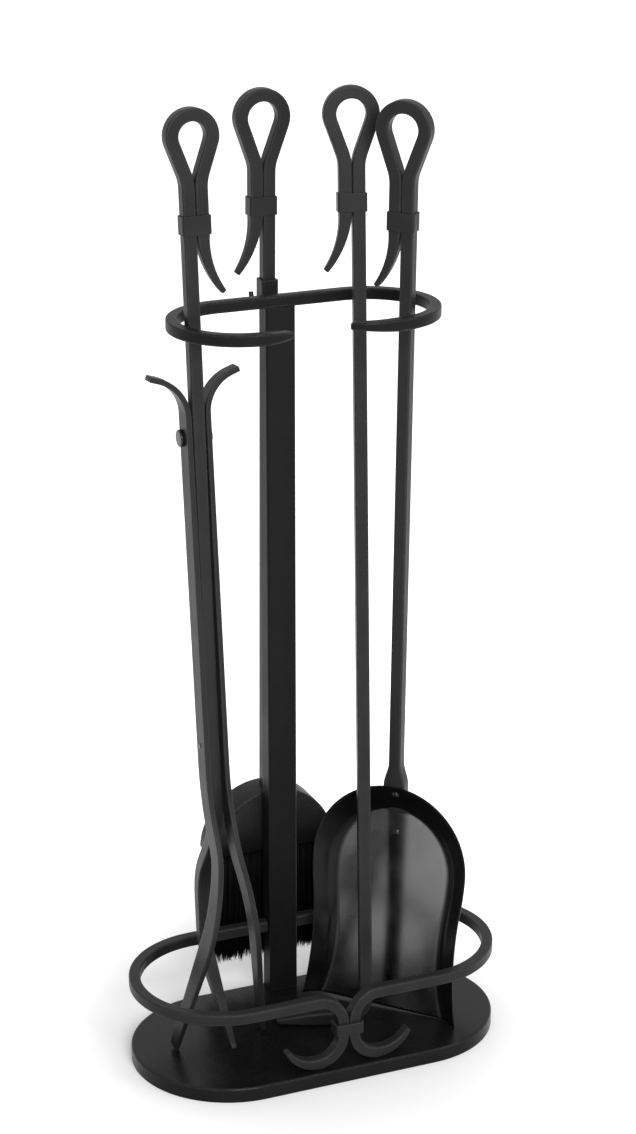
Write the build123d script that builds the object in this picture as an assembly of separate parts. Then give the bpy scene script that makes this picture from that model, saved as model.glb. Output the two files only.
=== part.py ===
from build123d import *
import math
import os

# Fireplace tool set on a stand. Millimetres, +Z up, centre of the base underside at the origin,
# +Y to the back. Every tool is built upright on its own bar axis and then set on the base.

# Base plate
BASE_LENGTH = 318.0
BASE_WIDTH = 166.0
BASE_THICK = 12.5
BASE_EDGE = 1.2

# Post, a rectangular tube with a closing cap and a screwed foot plug
POST_WIDTH = 25.4
POST_DEPTH = 18.0
POST_WALL = 1.6
POST_CORNER = 2.5
INSERT_GAP = 0.1
CAP_THICK = 2.0
PLUG_HEIGHT = 25.0
SCREW_DIA = 6.0
SCREW_HEAD_DIA = 11.0
SCREW_HEAD_DROP = 0.4
SCREW_REACH = 18.0
SCREW_SPACING = 12.0
SCREW_GAP = 0.05

# Top rail, an open oval of square bar on the post top
RAIL_BAR = 9.5
RAIL_TOP = 632.0
RAIL_HALF = 54.5
RAIL_RADIUS = 53.25
RAIL_CURL_RADIUS = 50.0
RAIL_CURL_RIGHT = 40.0
RAIL_CURL_LEFT = 26.0
RAIL_TIP = 5.5

# Lower ring, two bars that start at the post sides and end as scrolls at the front
RING_BAR = 9.5
RING_TOP = 77.5
RING_HALF = 82.0
RING_RADIUS = 73.15
RING_DROP_RADIUS = 22.0
RING_PAIR_GAP = 0.4
SCROLL_RADIUS = 22.75
SCROLL_END_RADIUS = 30.0
SCROLL_END_ANGLE = 62.0
SCROLL_TIP = 4.5
TIE_WALL = 2.6
TIE_HEIGHT = 10.5
TIE_GAP = 0.05

# Brush fork, a bent rod on the back of the post
FORK_ROD = 4.0
FORK_SPACING = 16.0
FORK_DROP = 14.0
FORK_REACH = 27.0
FORK_LIP = 7.0
FORK_CORNER = 3.5

# Tool bars and the forged loop handle they share
BAR = 10.5
LOOP_NECK_ANGLE = 20.0
LOOP_NECK_RADIUS = 35.0
LEG_GAP = 0.2
COLLAR_HEIGHT = 15.0
COLLAR_WALL = 1.2
COLLAR_GAP = 0.05
COLLAR_EDGE = 0.8
TAIL_RADIUS = 76.0
TAIL_ANGLE = 38.0
TAIL_TIP_THICK = 4.2
TAIL_TIP_DEPTH = 6.5
REST_GAP = 0.15

# Poker
POKER_TOP = 801.0
POKER_LOOP_HOLE = 24.0
POKER_COLLAR_DROP = 84.0
POKER_X = 41.8
POKER_Y = -15.4
POKER_YAW = -15.0
POKER_SLOPE_X = 0.023
POKER_SLOPE_Y = 0.0861
HOOK_BEND = 16.0
HOOK_LENGTH = 76.0
HOOK_TAPER = 33.0
HOOK_TIP = 4.0
HOOK_TIP_Z = 4.2

# Shovel
SHOVEL_TOP = 792.0
SHOVEL_LOOP_HOLE = 25.0
SHOVEL_COLLAR_DROP = 88.0
SHOVEL_X = 80.5
SHOVEL_Y = 17.6
SHOVEL_YAW = -47.0
SHOVEL_SLOPE_X = 0.002
SHOVEL_SLOPE_Y = -0.0255
PAN_REACH = 28.5
PAN_TILT = 7.5
DISH_TILT = 9.2
PAN_SHEET = 1.8
LIP_RECESS = 6.0
PAN_HEIGHT = 200.0
PAN_RADIUS = 69.0
PAN_LIP = 70.0
DISH_HEIGHT = 176.5
DISH_RADIUS = 54.0
DISH_LIP = 59.0
PAN_SIDE_RADIUS = 250.0
PAN_WAIST_RADIUS = 290.0
PAN_SIDE_ANGLE = 7.25
TAB_WIDTH = 19.0
TAB_BELOW_DISH = 36.5
TAB_ABOVE_RIM = 0.5
TAB_FLARE = 20.0
RIVET_DIA = 4.0
RIVET_HEAD_DIA = 7.0
RIVET_HEAD_RISE = 1.6
RIVET_GAP = 0.1
RIVET_SEAT_GAP = 0.2
RIVET_BELOW_RIM = 10.0
RIVET_BELOW_DISH = 22.5
RIVET_CROWN_SHARE = 0.6

# Tongs
TONGS_TOP = 807.0
TONGS_LOOP_HOLE = 22.5
TONGS_COLLAR_DROP = 82.0
TONGS_X = -84.5
TONGS_Y = -12.5
TONGS_SLOPE_X = -0.0167
TONGS_SLOPE_Y = 0.0407
PRONG_TOP = 225.0
PRONG_BACK_ANGLE = 38.0
PRONG_BACK_RADIUS = 60.0
PRONG_SLANT = 25.0
PRONG_STRAIGHT = 25.0
PRONG_FRONT_RADIUS = 55.0
PRONG_FRONT_ANGLE = 42.0
PRONG_TIP_REACH = 70.0
PRONG_TIP = 4.5
STRAP_THICK = 4.5
STRAP_DEPTH = 19.0
STRAP_GAP = 0.6
STRAP_SET = -2.0
STRAP_REST_ANGLE = 1.3
PIVOT_Z = 282.0
PIVOT_DIA = 5.0
PIVOT_GAP = 0.05
PIVOT_PROUD = 0.5
TIE_RIVET_Z = 537.0
TIE_RIVET_DIA = 4.0
TIE_SHOULDER_DIA = 5.0
TIE_STOP_GAP = 0.3
TIE_HEAD_DIA = 14.0
TIE_HEAD_RISE = 3.0
BOW_Z = 265.0
BOW_FRONT_ANGLE = 26.5
BOW_HIGH_RADIUS = 135.0
BOW_LOW_RADIUS = 110.0
BOW_BACK_ANGLE = 23.0
STRAP_TIP_Z = 13.0
STRAP_TIP_DEPTH = 11.0
SPREAD_Z = 200.0
SPREAD_ANGLE = 9.8
SPREAD_RADIUS = 100.0
HORN_Z = 556.0
HORN_RADIUS = 32.0
HORN_ANGLE = 72.0
HORN_END = 7.0
HORN_TIP_DEPTH = 13.0

# Brush
BRUSH_TOP = 793.0
BRUSH_LOOP_HOLE = 25.5
BRUSH_COLLAR_DROP = 86.5
BRUSH_X = -3.3
BRUSH_SLOPE_X = 0.0078
HANGER_WALL = 2.0
HANGER_HEIGHT = 18.5
HANGER_GAP = 0.05
HEAD_RADIUS = 56.6
HEAD_CENTRE_Z = 137.6
HEAD_LOW = 139.5
HEAD_DEPTH = 30.0
HEAD_EDGE = 1.5
SOCKET_DEPTH = 38.0
SOCKET_GAP = 0.1
HEAD_PIN_DIA = 5.0
HEAD_PIN_GAP = 0.08
BED_MARGIN = 3.0
BED_THICK = 6.0
BED_GAP = 0.15
BRISTLE_END = 38.0
BRISTLE_SIZE = 1.5
BRISTLE_COLUMNS = 40
BRISTLE_ROWS = 10
BRISTLE_SPLAY = 0.03
BRISTLE_RAGGED = 4.0


def sind(angle):
    """Sine of an angle in degrees."""
    return math.sin(math.radians(angle))


def cosd(angle):
    """Cosine of an angle in degrees."""
    return math.cos(math.radians(angle))


def onward(edge, length):
    """Straight line that carries on from the end of an edge."""
    return Line(edge @ 1, (edge @ 1) + (edge % 1) * length)


def in_xz(*edges):
    """Flat path of edges drawn in x and z, set upright in the XZ plane."""
    return Plane.XZ * Curve(Wire(list(edges)).edges())


def in_yz(*edges):
    """Flat path of edges drawn in y and z, set upright in the YZ plane."""
    return Plane.YZ * Curve(Wire(list(edges)).edges())


def across_xz(point, heading, thick, depth):
    """Bar section across a path in the XZ plane: thick in that plane, depth along y."""
    cut = Plane((point.X, 0, point.Y), x_dir=(0, 1, 0), z_dir=(heading.X, 0, heading.Y))
    return cut * Rectangle(depth, thick)


def across_yz(point, heading, thick, width):
    """Bar section across a path in the YZ plane: thick in that plane, width along x."""
    cut = Plane((0, point.X, point.Y), x_dir=(1, 0, 0), z_dir=(0, heading.X, heading.Y))
    return cut * Rectangle(width, thick)


def turned(profile_points, axis):
    """Solid of revolution of a closed profile about an axis."""
    return revolve(make_face(Polyline(*profile_points, close=True)), axis)


def rivet_head(radius, rise):
    """Rivet head on the XY plane, centred on z, narrowing along +z."""
    return Pos(0, 0, rise / 2) * Cone(radius, radius * RIVET_CROWN_SHARE, rise)


def set_on_base(parts, x, y, yaw, slope_x, slope_y):
    """Turns tool parts to their yaw and lean and puts their lowest point on the base plate."""
    lean = Rot(-math.degrees(math.atan(slope_y)), math.degrees(math.atan(slope_x)), 0)
    spot = Pos(x, y, 0) * lean * Rot(0, 0, yaw)
    low = min((spot * part).bounding_box().min.Z for part in parts.values())
    spot = Pos(0, 0, BASE_THICK + REST_GAP - low) * spot
    return {name: spot * part for name, part in parts.items()}


LEG_PITCH = BAR + LEG_GAP


def loop_path(foot, top, hole, drop):
    """Edges of the handle: up the bar, round the teardrop loop, down the second leg."""
    radius = (hole + BAR) / 2
    wide = radius * cosd(LOOP_NECK_ANGLE) - LOOP_NECK_RADIUS * (1 - cosd(LOOP_NECK_ANGLE))
    slant = (wide - LEG_PITCH / 2) / sind(LOOP_NECK_ANGLE)
    fall = (radius + LOOP_NECK_RADIUS) * sind(LOOP_NECK_ANGLE) + slant * cosd(LOOP_NECK_ANGLE)
    neck = top - BAR / 2 - radius - fall
    shaft = Line((0, foot), (0, neck))
    out = JernArc(shaft @ 1, shaft % 1, LOOP_NECK_RADIUS, -LOOP_NECK_ANGLE)
    rise = onward(out, slant)
    over_a = JernArc(rise @ 1, rise % 1, radius, 90 + LOOP_NECK_ANGLE)
    over_b = JernArc(over_a @ 1, over_a % 1, radius, 90 + LOOP_NECK_ANGLE)
    fall = onward(over_b, slant)
    back = JernArc(fall @ 1, fall % 1, LOOP_NECK_RADIUS, -LOOP_NECK_ANGLE)
    leg = onward(back, (back @ 1).Y - (top - drop - COLLAR_HEIGHT))
    return shaft, out, rise, over_a, over_b, fall, back, leg


def tool_bar(foot, top, hole, drop):
    """Square bar from foot up to a forged loop, with the flared tail of the loop at -x."""
    edges = loop_path(foot, top, hole, drop)
    start = Plane((0, 0, foot)) * Rectangle(BAR, BAR)
    bar = sweep(start, path=in_xz(*edges))
    leg = edges[-1]
    tail = JernArc(leg @ 1, leg % 1, TAIL_RADIUS, -TAIL_ANGLE)
    ends = [
        across_xz(tail @ 0, tail % 0, BAR, BAR),
        across_xz(tail @ 1, tail % 1, TAIL_TIP_THICK, TAIL_TIP_DEPTH),
    ]
    return bar + sweep(ends, path=in_xz(tail), multisection=True)


def handle_collar(top, drop):
    """Folded collar that holds the two legs of a loop handle together."""
    inner_x = LEG_PITCH + BAR + 2 * COLLAR_GAP
    inner_y = BAR + 2 * COLLAR_GAP
    block = Box(inner_x + 2 * COLLAR_WALL, inner_y + 2 * COLLAR_WALL, COLLAR_HEIGHT)
    block = fillet(block.edges().filter_by(Axis.Z), COLLAR_EDGE)
    block -= Box(inner_x, inner_y, COLLAR_HEIGHT * 2)
    return Pos(-LEG_PITCH / 2, 0, top - drop - COLLAR_HEIGHT / 2) * block


# Base plate, post and foot
post_y = BASE_WIDTH / 2 - POST_DEPTH / 2
post_top = RAIL_TOP - RAIL_BAR
inner_w = POST_WIDTH - 2 * POST_WALL
inner_d = POST_DEPTH - 2 * POST_WALL

base_plate = extrude(SlotOverall(BASE_LENGTH, BASE_WIDTH), BASE_THICK)
base_plate = chamfer(base_plate.faces().sort_by(Axis.Z)[-1].edges(), BASE_EDGE)

post_outline = RectangleRounded(POST_WIDTH, POST_DEPTH, POST_CORNER)
post_bore = RectangleRounded(inner_w, inner_d, POST_CORNER - POST_WALL)
post = Pos(0, post_y, BASE_THICK) * extrude(post_outline - post_bore, post_top - BASE_THICK)

insert = RectangleRounded(inner_w - 2 * INSERT_GAP, inner_d - 2 * INSERT_GAP, POST_CORNER - POST_WALL)
post_cap = Pos(0, post_y, post_top - CAP_THICK) * extrude(insert, CAP_THICK)
post_foot_plug = Pos(0, post_y, BASE_THICK) * extrude(insert, PLUG_HEIGHT)

screw_r = SCREW_DIA / 2
head_r = SCREW_HEAD_DIA / 2
head_z = SCREW_HEAD_DROP + head_r - screw_r
tip_z = BASE_THICK + SCREW_REACH
base_screws = []
for side in (-1, 1):
    at = Pos(side * SCREW_SPACING / 2, post_y, 0)
    points = [
        (0, 0, SCREW_HEAD_DROP),
        (head_r, 0, SCREW_HEAD_DROP),
        (screw_r, 0, head_z),
        (screw_r, 0, tip_z),
        (0, 0, tip_z),
    ]
    base_screws.append(at * turned(points, Axis.Z))
    wide_r = head_r + SCREW_GAP
    hole_r = screw_r + SCREW_GAP
    sink = SCREW_HEAD_DROP + wide_r - hole_r
    points = [
        (0, 0, -1),
        (wide_r, 0, -1),
        (wide_r, 0, SCREW_HEAD_DROP),
        (hole_r, 0, sink),
        (hole_r, 0, tip_z + 1),
        (0, 0, tip_z + 1),
    ]
    hole = at * turned(points, Axis.Z)
    base_plate -= hole
    post_foot_plug -= hole

# Top rail, swept as a right half and mirrored, with tips that thin as they curl in
rail_y = post_y - POST_DEPTH / 2 + RAIL_BAR / 2
rail_z = RAIL_TOP - RAIL_BAR / 2
back = Line((0, rail_y), (RAIL_HALF, rail_y))
end_a = JernArc(back @ 1, back % 1, RAIL_RADIUS, -90)
end_b = JernArc(end_a @ 1, end_a % 1, RAIL_RADIUS, -90)
rail_path = Pos(0, 0, rail_z) * Curve(Wire([back, end_a, end_b]).edges())
rail_start = Plane((0, rail_y, rail_z), x_dir=(0, 1, 0), z_dir=(1, 0, 0)) * Rectangle(RAIL_BAR, RAIL_BAR)
rail_half = sweep(rail_start, path=rail_path)


def curled_half(angle):
    """Right half of the rail with its front tip curled in by angle and thinned in height."""
    curl = JernArc(end_b @ 1, end_b % 1, RAIL_CURL_RADIUS, -angle)
    ends = []
    for share, height in ((0, RAIL_BAR), (1, RAIL_TIP)):
        spot = curl @ share
        cut = Plane((spot.X, spot.Y, rail_z), x_dir=(0, 0, 1), z_dir=curl % share)
        ends.append(cut * Rectangle(height, RAIL_BAR))
    return rail_half + sweep(ends, path=Pos(0, 0, rail_z) * Curve(curl.edges()), multisection=True)


top_rail = curled_half(RAIL_CURL_RIGHT) + mirror(curled_half(RAIL_CURL_LEFT), about=Plane.YZ)

# Lower ring, right bar with its scroll, then the mirrored left bar
ring_z = RING_TOP - RING_BAR / 2
front_y = post_y - 2 * RING_RADIUS
drop_x = (RING_BAR + RING_PAIR_GAP) / 2
scroll_low = BASE_THICK + RING_BAR / 2
back = Line((POST_WIDTH / 2, post_y), (RING_HALF, post_y))
end_a = JernArc(back @ 1, back % 1, RING_RADIUS, -90)
end_b = JernArc(end_a @ 1, end_a % 1, RING_RADIUS, -90)
front = Line(end_b @ 1, (drop_x + RING_DROP_RADIUS, front_y))
ring_path = Pos(0, 0, ring_z) * Curve(Wire([back, end_a, end_b, front]).edges())
ring_start = Plane((POST_WIDTH / 2, post_y, ring_z), x_dir=(0, 1, 0), z_dir=(1, 0, 0))
ring = sweep(ring_start * Rectangle(RING_BAR, RING_BAR), path=ring_path)

turn = JernArc((drop_x + RING_DROP_RADIUS, ring_z), (-1, 0), RING_DROP_RADIUS, 90)
drop = Line(turn @ 1, (drop_x, scroll_low + SCROLL_RADIUS))
curve = JernArc(drop @ 1, (0, -1), SCROLL_RADIUS, 90)
tip = JernArc(curve @ 1, curve % 1, SCROLL_END_RADIUS, SCROLL_END_ANGLE)
scroll = sweep(across_xz(turn @ 0, turn % 0, RING_BAR, RING_BAR), path=in_xz(turn, drop, curve))
tip_ends = [
    across_xz(tip @ 0, tip % 0, RING_BAR, RING_BAR),
    across_xz(tip @ 1, tip % 1, SCROLL_TIP, RING_BAR),
]
scroll += sweep(tip_ends, path=in_xz(tip), multisection=True)
lower_ring_right = ring + Pos(0, front_y, 0) * scroll
lower_ring_left = mirror(lower_ring_right, about=Plane.YZ)

pair_x = 2 * RING_BAR + RING_PAIR_GAP + 2 * TIE_GAP
pair_y = RING_BAR + 2 * TIE_GAP
tie = Box(pair_x + 2 * TIE_WALL, pair_y + 2 * TIE_WALL, TIE_HEIGHT)
tie = fillet(tie.edges().filter_by(Axis.Z), COLLAR_EDGE) - Box(pair_x, pair_y, TIE_HEIGHT * 2)
tie_z = ((turn @ 1).Y + (drop @ 1).Y) / 2
ring_tie_collar = Pos(0, front_y, tie_z) * tie

# Brush fork, one rod bent to a U with raised lips
fork_x = FORK_SPACING / 2
fork_y = BASE_WIDTH / 2 + FORK_ROD / 2
fork_z = RAIL_TOP - FORK_DROP
fork_end = fork_y + FORK_REACH
hang_x = BRUSH_X + BRUSH_SLOPE_X * fork_z
fork_path = FilletPolyline(
    (hang_x - fork_x, fork_end + FORK_LIP / 3, fork_z + FORK_LIP),
    (hang_x - fork_x, fork_end, fork_z),
    (hang_x - fork_x, fork_y, fork_z),
    (hang_x + fork_x, fork_y, fork_z),
    (hang_x + fork_x, fork_end, fork_z),
    (hang_x + fork_x, fork_end + FORK_LIP / 3, fork_z + FORK_LIP),
    radius=FORK_CORNER,
)
fork_start = Plane(fork_path @ 0, z_dir=fork_path % 0) * Circle(FORK_ROD / 2)
brush_fork = sweep(fork_start, path=fork_path)

# Poker, one forged bar: tapered hook, bend, shaft, loop
hook_root = Line((HOOK_TAPER - HOOK_LENGTH, BAR / 2), (-HOOK_BEND, BAR / 2))
hook_bend = JernArc(hook_root @ 1, (1, 0), HOOK_BEND, 90)
foot = sweep(across_xz(hook_root @ 0, hook_root % 0, BAR, BAR), path=in_xz(hook_root, hook_bend))
hook_tip = loft(
    [
        across_xz(hook_root @ 0, Vector(-1, 0), BAR, BAR),
        across_xz(Vector(-HOOK_LENGTH, HOOK_TIP_Z), Vector(-1, 0), HOOK_TIP, HOOK_TIP),
    ]
)
poker_top = POKER_TOP - BASE_THICK
poker_bar = tool_bar((hook_bend @ 1).Y, poker_top, POKER_LOOP_HOLE, POKER_COLLAR_DROP)
poker = {
    "poker_shaft": poker_bar + foot + hook_tip,
    "poker_handle_collar": handle_collar(poker_top, POKER_COLLAR_DROP),
}
poker = set_on_base(poker, POKER_X, POKER_Y, POKER_YAW, POKER_SLOPE_X, POKER_SLOPE_Y)


def bell(height, top_r, lip_half):
    """Bell outline of the pan in its own plane: round crown, slight waist, flared lip at y = 0."""
    crown = JernArc((0, height), (1, 0), top_r, -90)
    side = JernArc(crown @ 1, (0, -1), PAN_SIDE_RADIUS, -PAN_SIDE_ANGLE)
    waist = JernArc(side @ 1, side % 1, PAN_WAIST_RADIUS, PAN_SIDE_ANGLE)
    rise = (waist @ 1).Y
    gain = lip_half - (waist @ 1).X
    flare_r = (rise**2 + gain**2) / (2 * gain)
    flare = JernArc(waist @ 1, (0, -1), flare_r, math.degrees(math.asin(rise / flare_r)))
    right = [crown, side, waist, flare]
    lip = Line(flare @ 1, (-(flare @ 1).X, 0))
    left = [mirror(edge, about=Plane.YZ) for edge in right]
    return make_face([*right, lip, *left])


def leaned(depth, tilt):
    """Plane of a pan outline: the lip line at depth behind the rim lip, leaning back by tilt."""
    return Plane((0, depth - PAN_REACH, 0), x_dir=(1, 0, 0), z_dir=(0, -cosd(tilt), sind(tilt)))


# Shovel pan, stamped from sheet: a sloping border round a recessed dish that runs out at the lip
rim = leaned(0, PAN_TILT) * bell(PAN_HEIGHT, PAN_RADIUS, PAN_LIP)
dish_plane = leaned(PAN_SHEET + LIP_RECESS, DISH_TILT)
pan_form = loft([rim, dish_plane * bell(DISH_HEIGHT, DISH_RADIUS, DISH_LIP)], ruled=True)
shovel_pan = pan_form - Pos(0, -PAN_SHEET, 0) * pan_form

# Shovel shaft: the bar widens to a lug that is seated on the back of the pan
half_bar = BAR / 2
half_tab = TAB_WIDTH / 2
tab_low = DISH_HEIGHT - TAB_BELOW_DISH
flare_low = PAN_HEIGHT + TAB_ABOVE_RIM
flare_top = flare_low + TAB_FLARE
lug_front = Polyline(
    (-half_bar, flare_top),
    (-half_tab, flare_low),
    (-half_tab, tab_low + half_tab / 2),
    (-half_tab / 2, tab_low),
    (half_tab / 2, tab_low),
    (half_tab, tab_low + half_tab / 2),
    (half_tab, flare_low),
    (half_bar, flare_top),
    close=True,
)
lug = extrude(Plane((0, half_bar, 0), x_dir=(1, 0, 0), z_dir=(0, -1, 0)) * make_face(lug_front), BAR)
lug -= pan_form

rim_top = leaned(0, PAN_TILT).from_local_coords(Vector(0, PAN_HEIGHT, 0))
dish_top = dish_plane.from_local_coords(Vector(0, DISH_HEIGHT, 0))
wall_lean = math.degrees(math.atan2(dish_top.Y - rim_top.Y, rim_top.Z - dish_top.Z))
high_z = PAN_HEIGHT - RIVET_BELOW_RIM
low_z = DISH_HEIGHT - RIVET_BELOW_DISH
share = (high_z - dish_top.Z) / (rim_top.Z - dish_top.Z)
wall_y = dish_top.Y + (rim_top.Y - dish_top.Y) * share
dish_y = dish_plane.from_local_coords(Vector(0, low_z / cosd(DISH_TILT), 0)).Y
shovel_rivets = []
for height, depth, lean in ((high_z, wall_y, wall_lean), (low_z, dish_y, -DISH_TILT)):
    seat = Pos(0, depth - PAN_SHEET, height) * Rot(90 + lean, 0, 0)
    bore = Cylinder(RIVET_DIA / 2 + RIVET_GAP, 6 * BAR)
    shovel_pan -= seat * bore
    lug -= seat * bore
    shank = Pos(0, 0, RIVET_SEAT_GAP - 2 * BAR) * Cylinder(RIVET_DIA / 2, 4 * BAR)
    rivet = shank + Pos(0, 0, RIVET_SEAT_GAP) * rivet_head(RIVET_HEAD_DIA / 2, RIVET_HEAD_RISE)
    behind = Pos(0, half_bar + 4 * BAR, height) * Box(20 * BAR, 8 * BAR, 20 * BAR)
    shovel_rivets.append(seat * rivet - behind)
shovel_bar = tool_bar(flare_top, SHOVEL_TOP - BASE_THICK, SHOVEL_LOOP_HOLE, SHOVEL_COLLAR_DROP)
shovel = {
    "shovel_shaft": shovel_bar + lug,
    "shovel_handle_collar": handle_collar(SHOVEL_TOP - BASE_THICK, SHOVEL_COLLAR_DROP),
    "shovel_pan": shovel_pan,
    "shovel_rivets": Compound(children=shovel_rivets),
}
shovel = set_on_base(shovel, SHOVEL_X, SHOVEL_Y, SHOVEL_YAW, SHOVEL_SLOPE_X, SHOVEL_SLOPE_Y)

# Tongs: the shaft ends as the rear prong, bowed back and then forward to its point
bow_a = JernArc((0, PRONG_TOP), (0, -1), PRONG_BACK_RADIUS, PRONG_BACK_ANGLE)
bow_b = onward(bow_a, PRONG_SLANT)
bow_c = JernArc(bow_b @ 1, bow_b % 1, PRONG_BACK_RADIUS, -PRONG_BACK_ANGLE)
bow_d = onward(bow_c, PRONG_STRAIGHT)
bow_e = JernArc(bow_d @ 1, bow_d % 1, PRONG_FRONT_RADIUS, -PRONG_FRONT_ANGLE)
prong = sweep(across_yz(bow_a @ 0, bow_a % 0, BAR, BAR), path=in_yz(bow_a, bow_b, bow_c, bow_d, bow_e))
point = onward(bow_e, PRONG_TIP_REACH)
prong += loft(
    [
        across_yz(point @ 0, point % 0, BAR, BAR),
        across_yz(point @ 1, point % 1, PRONG_TIP, PRONG_TIP),
    ]
)
tongs_top = TONGS_TOP - BASE_THICK
tongs_bar = mirror(tool_bar(PRONG_TOP, tongs_top, TONGS_LOOP_HOLE, TONGS_COLLAR_DROP), about=Plane.YZ)
pin_out = BAR / 2 + STRAP_GAP + STRAP_THICK
pin_axis = Pos(0, 0, PIVOT_Z) * Rot(0, 90, 0)
tongs_shaft = tongs_bar + prong - pin_axis * Cylinder(PIVOT_DIA / 2, 4 * BAR)
pin_core = Cylinder(PIVOT_DIA / 2, 2 * (pin_out + PIVOT_PROUD))
tongs_pivot_pin = pin_axis * chamfer(pin_core.edges(), PIVOT_PROUD)

# Straps: the side form seen along x meets the front form seen along y
rest = Pos(0, 0, PIVOT_Z) * Rot(-STRAP_REST_ANGLE, 0, 0) * Pos(0, 0, -PIVOT_Z)
wide = 6 * STRAP_DEPTH
side_line = Line((STRAP_SET, HORN_Z), (STRAP_SET, BOW_Z))
side_a = JernArc(side_line @ 1, (0, -1), BOW_HIGH_RADIUS, -BOW_FRONT_ANGLE)
side_b = JernArc(side_a @ 1, side_a % 1, BOW_LOW_RADIUS, BOW_FRONT_ANGLE + BOW_BACK_ANGLE)
side_form = sweep(
    across_yz(side_line @ 0, side_line % 0, STRAP_DEPTH, wide),
    path=in_yz(side_line, side_a, side_b),
)
side_c = onward(side_b, ((side_b @ 1).Y - STRAP_TIP_Z) / cosd(BOW_BACK_ANGLE))
side_form += loft(
    [
        across_yz(side_c @ 0, side_c % 0, STRAP_DEPTH, wide),
        across_yz(side_c @ 1, side_c % 1, STRAP_TIP_DEPTH, wide),
    ]
)
horn_rise = HORN_RADIUS * sind(HORN_ANGLE) + HORN_END * cosd(HORN_ANGLE) + STRAP_THICK
side_form += loft(
    [
        Plane((0, STRAP_SET, HORN_Z)) * Rectangle(wide, STRAP_DEPTH),
        Plane((0, STRAP_SET, HORN_Z + horn_rise)) * Rectangle(wide, HORN_TIP_DEPTH),
    ]
)
strap_x = BAR / 2 + STRAP_GAP + STRAP_THICK / 2
flank_a = JernArc((strap_x, SPREAD_Z), (0, -1), SPREAD_RADIUS, SPREAD_ANGLE)
flank_b = onward(flank_a, SPREAD_Z)
flank = sweep(across_xz(flank_a @ 0, flank_a % 0, STRAP_THICK, wide), path=in_xz(flank_a, flank_b))
upper = Line((strap_x, SPREAD_Z), (strap_x, HORN_Z))
horn = JernArc(upper @ 1, (0, 1), HORN_RADIUS, -HORN_ANGLE)
horn_end = onward(horn, HORN_END)
flank += sweep(across_xz(upper @ 0, upper % 0, STRAP_THICK, wide), path=in_xz(upper, horn, horn_end))
tie_u = BAR / 2 + TIE_STOP_GAP + TIE_SHOULDER_DIA / 2
tie_u -= (TIE_RIVET_Z - PIVOT_Z) * math.tan(math.radians(STRAP_REST_ANGLE))
tie_axis = Pos(0, tie_u, TIE_RIVET_Z) * Rot(0, 90, 0)
strap = flank & side_form
strap -= pin_axis * Cylinder(PIVOT_DIA / 2 + PIVOT_GAP, 6 * BAR)
strap -= tie_axis * Cylinder(TIE_RIVET_DIA / 2 + RIVET_GAP, 6 * BAR)
shoulder = 2 * (BAR / 2 + STRAP_GAP - RIVET_GAP)
tie_rivet = tie_axis * Cylinder(TIE_SHOULDER_DIA / 2, shoulder)
tie_rivet += tie_axis * Cylinder(TIE_RIVET_DIA / 2, 2 * pin_out)
for turn_y in (90, -90):
    seat = Pos(0, tie_u, TIE_RIVET_Z) * Rot(0, turn_y, 0) * Pos(0, 0, pin_out)
    tie_rivet += seat * rivet_head(TIE_HEAD_DIA / 2, TIE_HEAD_RISE)
tongs = {
    "tongs_shaft": tongs_shaft,
    "tongs_handle_collar": mirror(handle_collar(tongs_top, TONGS_COLLAR_DROP), about=Plane.YZ),
    "tongs_pivot_pin": tongs_pivot_pin,
    "tongs_strap_right": rest * strap,
    "tongs_strap_left": rest * mirror(strap, about=Plane.YZ),
    "tongs_tie_rivet": rest * tie_rivet,
}
tongs = set_on_base(tongs, TONGS_X, TONGS_Y, 0, TONGS_SLOPE_X, TONGS_SLOPE_Y)

# Brush: half-round head, bristles set in its underside, bar pinned in its top
brush_y = fork_y + FORK_REACH / 2
half_head = math.sqrt(HEAD_RADIUS**2 - (HEAD_LOW - HEAD_CENTRE_Z) ** 2)
crown = ThreePointArc((-half_head, HEAD_LOW), (0, HEAD_CENTRE_Z + HEAD_RADIUS), (half_head, HEAD_LOW))
outline = make_face([crown, Line((half_head, HEAD_LOW), (-half_head, HEAD_LOW))])
head = extrude(Plane((0, HEAD_DEPTH / 2, 0), x_dir=(1, 0, 0), z_dir=(0, -1, 0)) * outline, HEAD_DEPTH)
round_edges = [edge for edge in head.edges() if edge.geom_type == GeomType.CIRCLE]
head = chamfer(round_edges, HEAD_EDGE)
head_top = HEAD_CENTRE_Z + HEAD_RADIUS
bar_low = head_top - SOCKET_DEPTH
socket = BAR + 2 * SOCKET_GAP
head -= Pos(0, 0, bar_low - SOCKET_GAP + SOCKET_DEPTH) * Box(socket, socket, 2 * SOCKET_DEPTH)
bed_l = 2 * (half_head - BED_MARGIN)
bed_w = HEAD_DEPTH - 2 * BED_MARGIN
head -= Pos(0, 0, HEAD_LOW) * Box(bed_l, bed_w, 2 * BED_THICK)
pin_spot = Pos(0, 0, bar_low + SOCKET_DEPTH * 0.4) * Rot(90, 0, 0)
head -= pin_spot * Cylinder(HEAD_PIN_DIA / 2 + HEAD_PIN_GAP, 2 * HEAD_DEPTH)
head_pin = pin_spot * Cylinder(HEAD_PIN_DIA / 2, HEAD_DEPTH)

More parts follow.
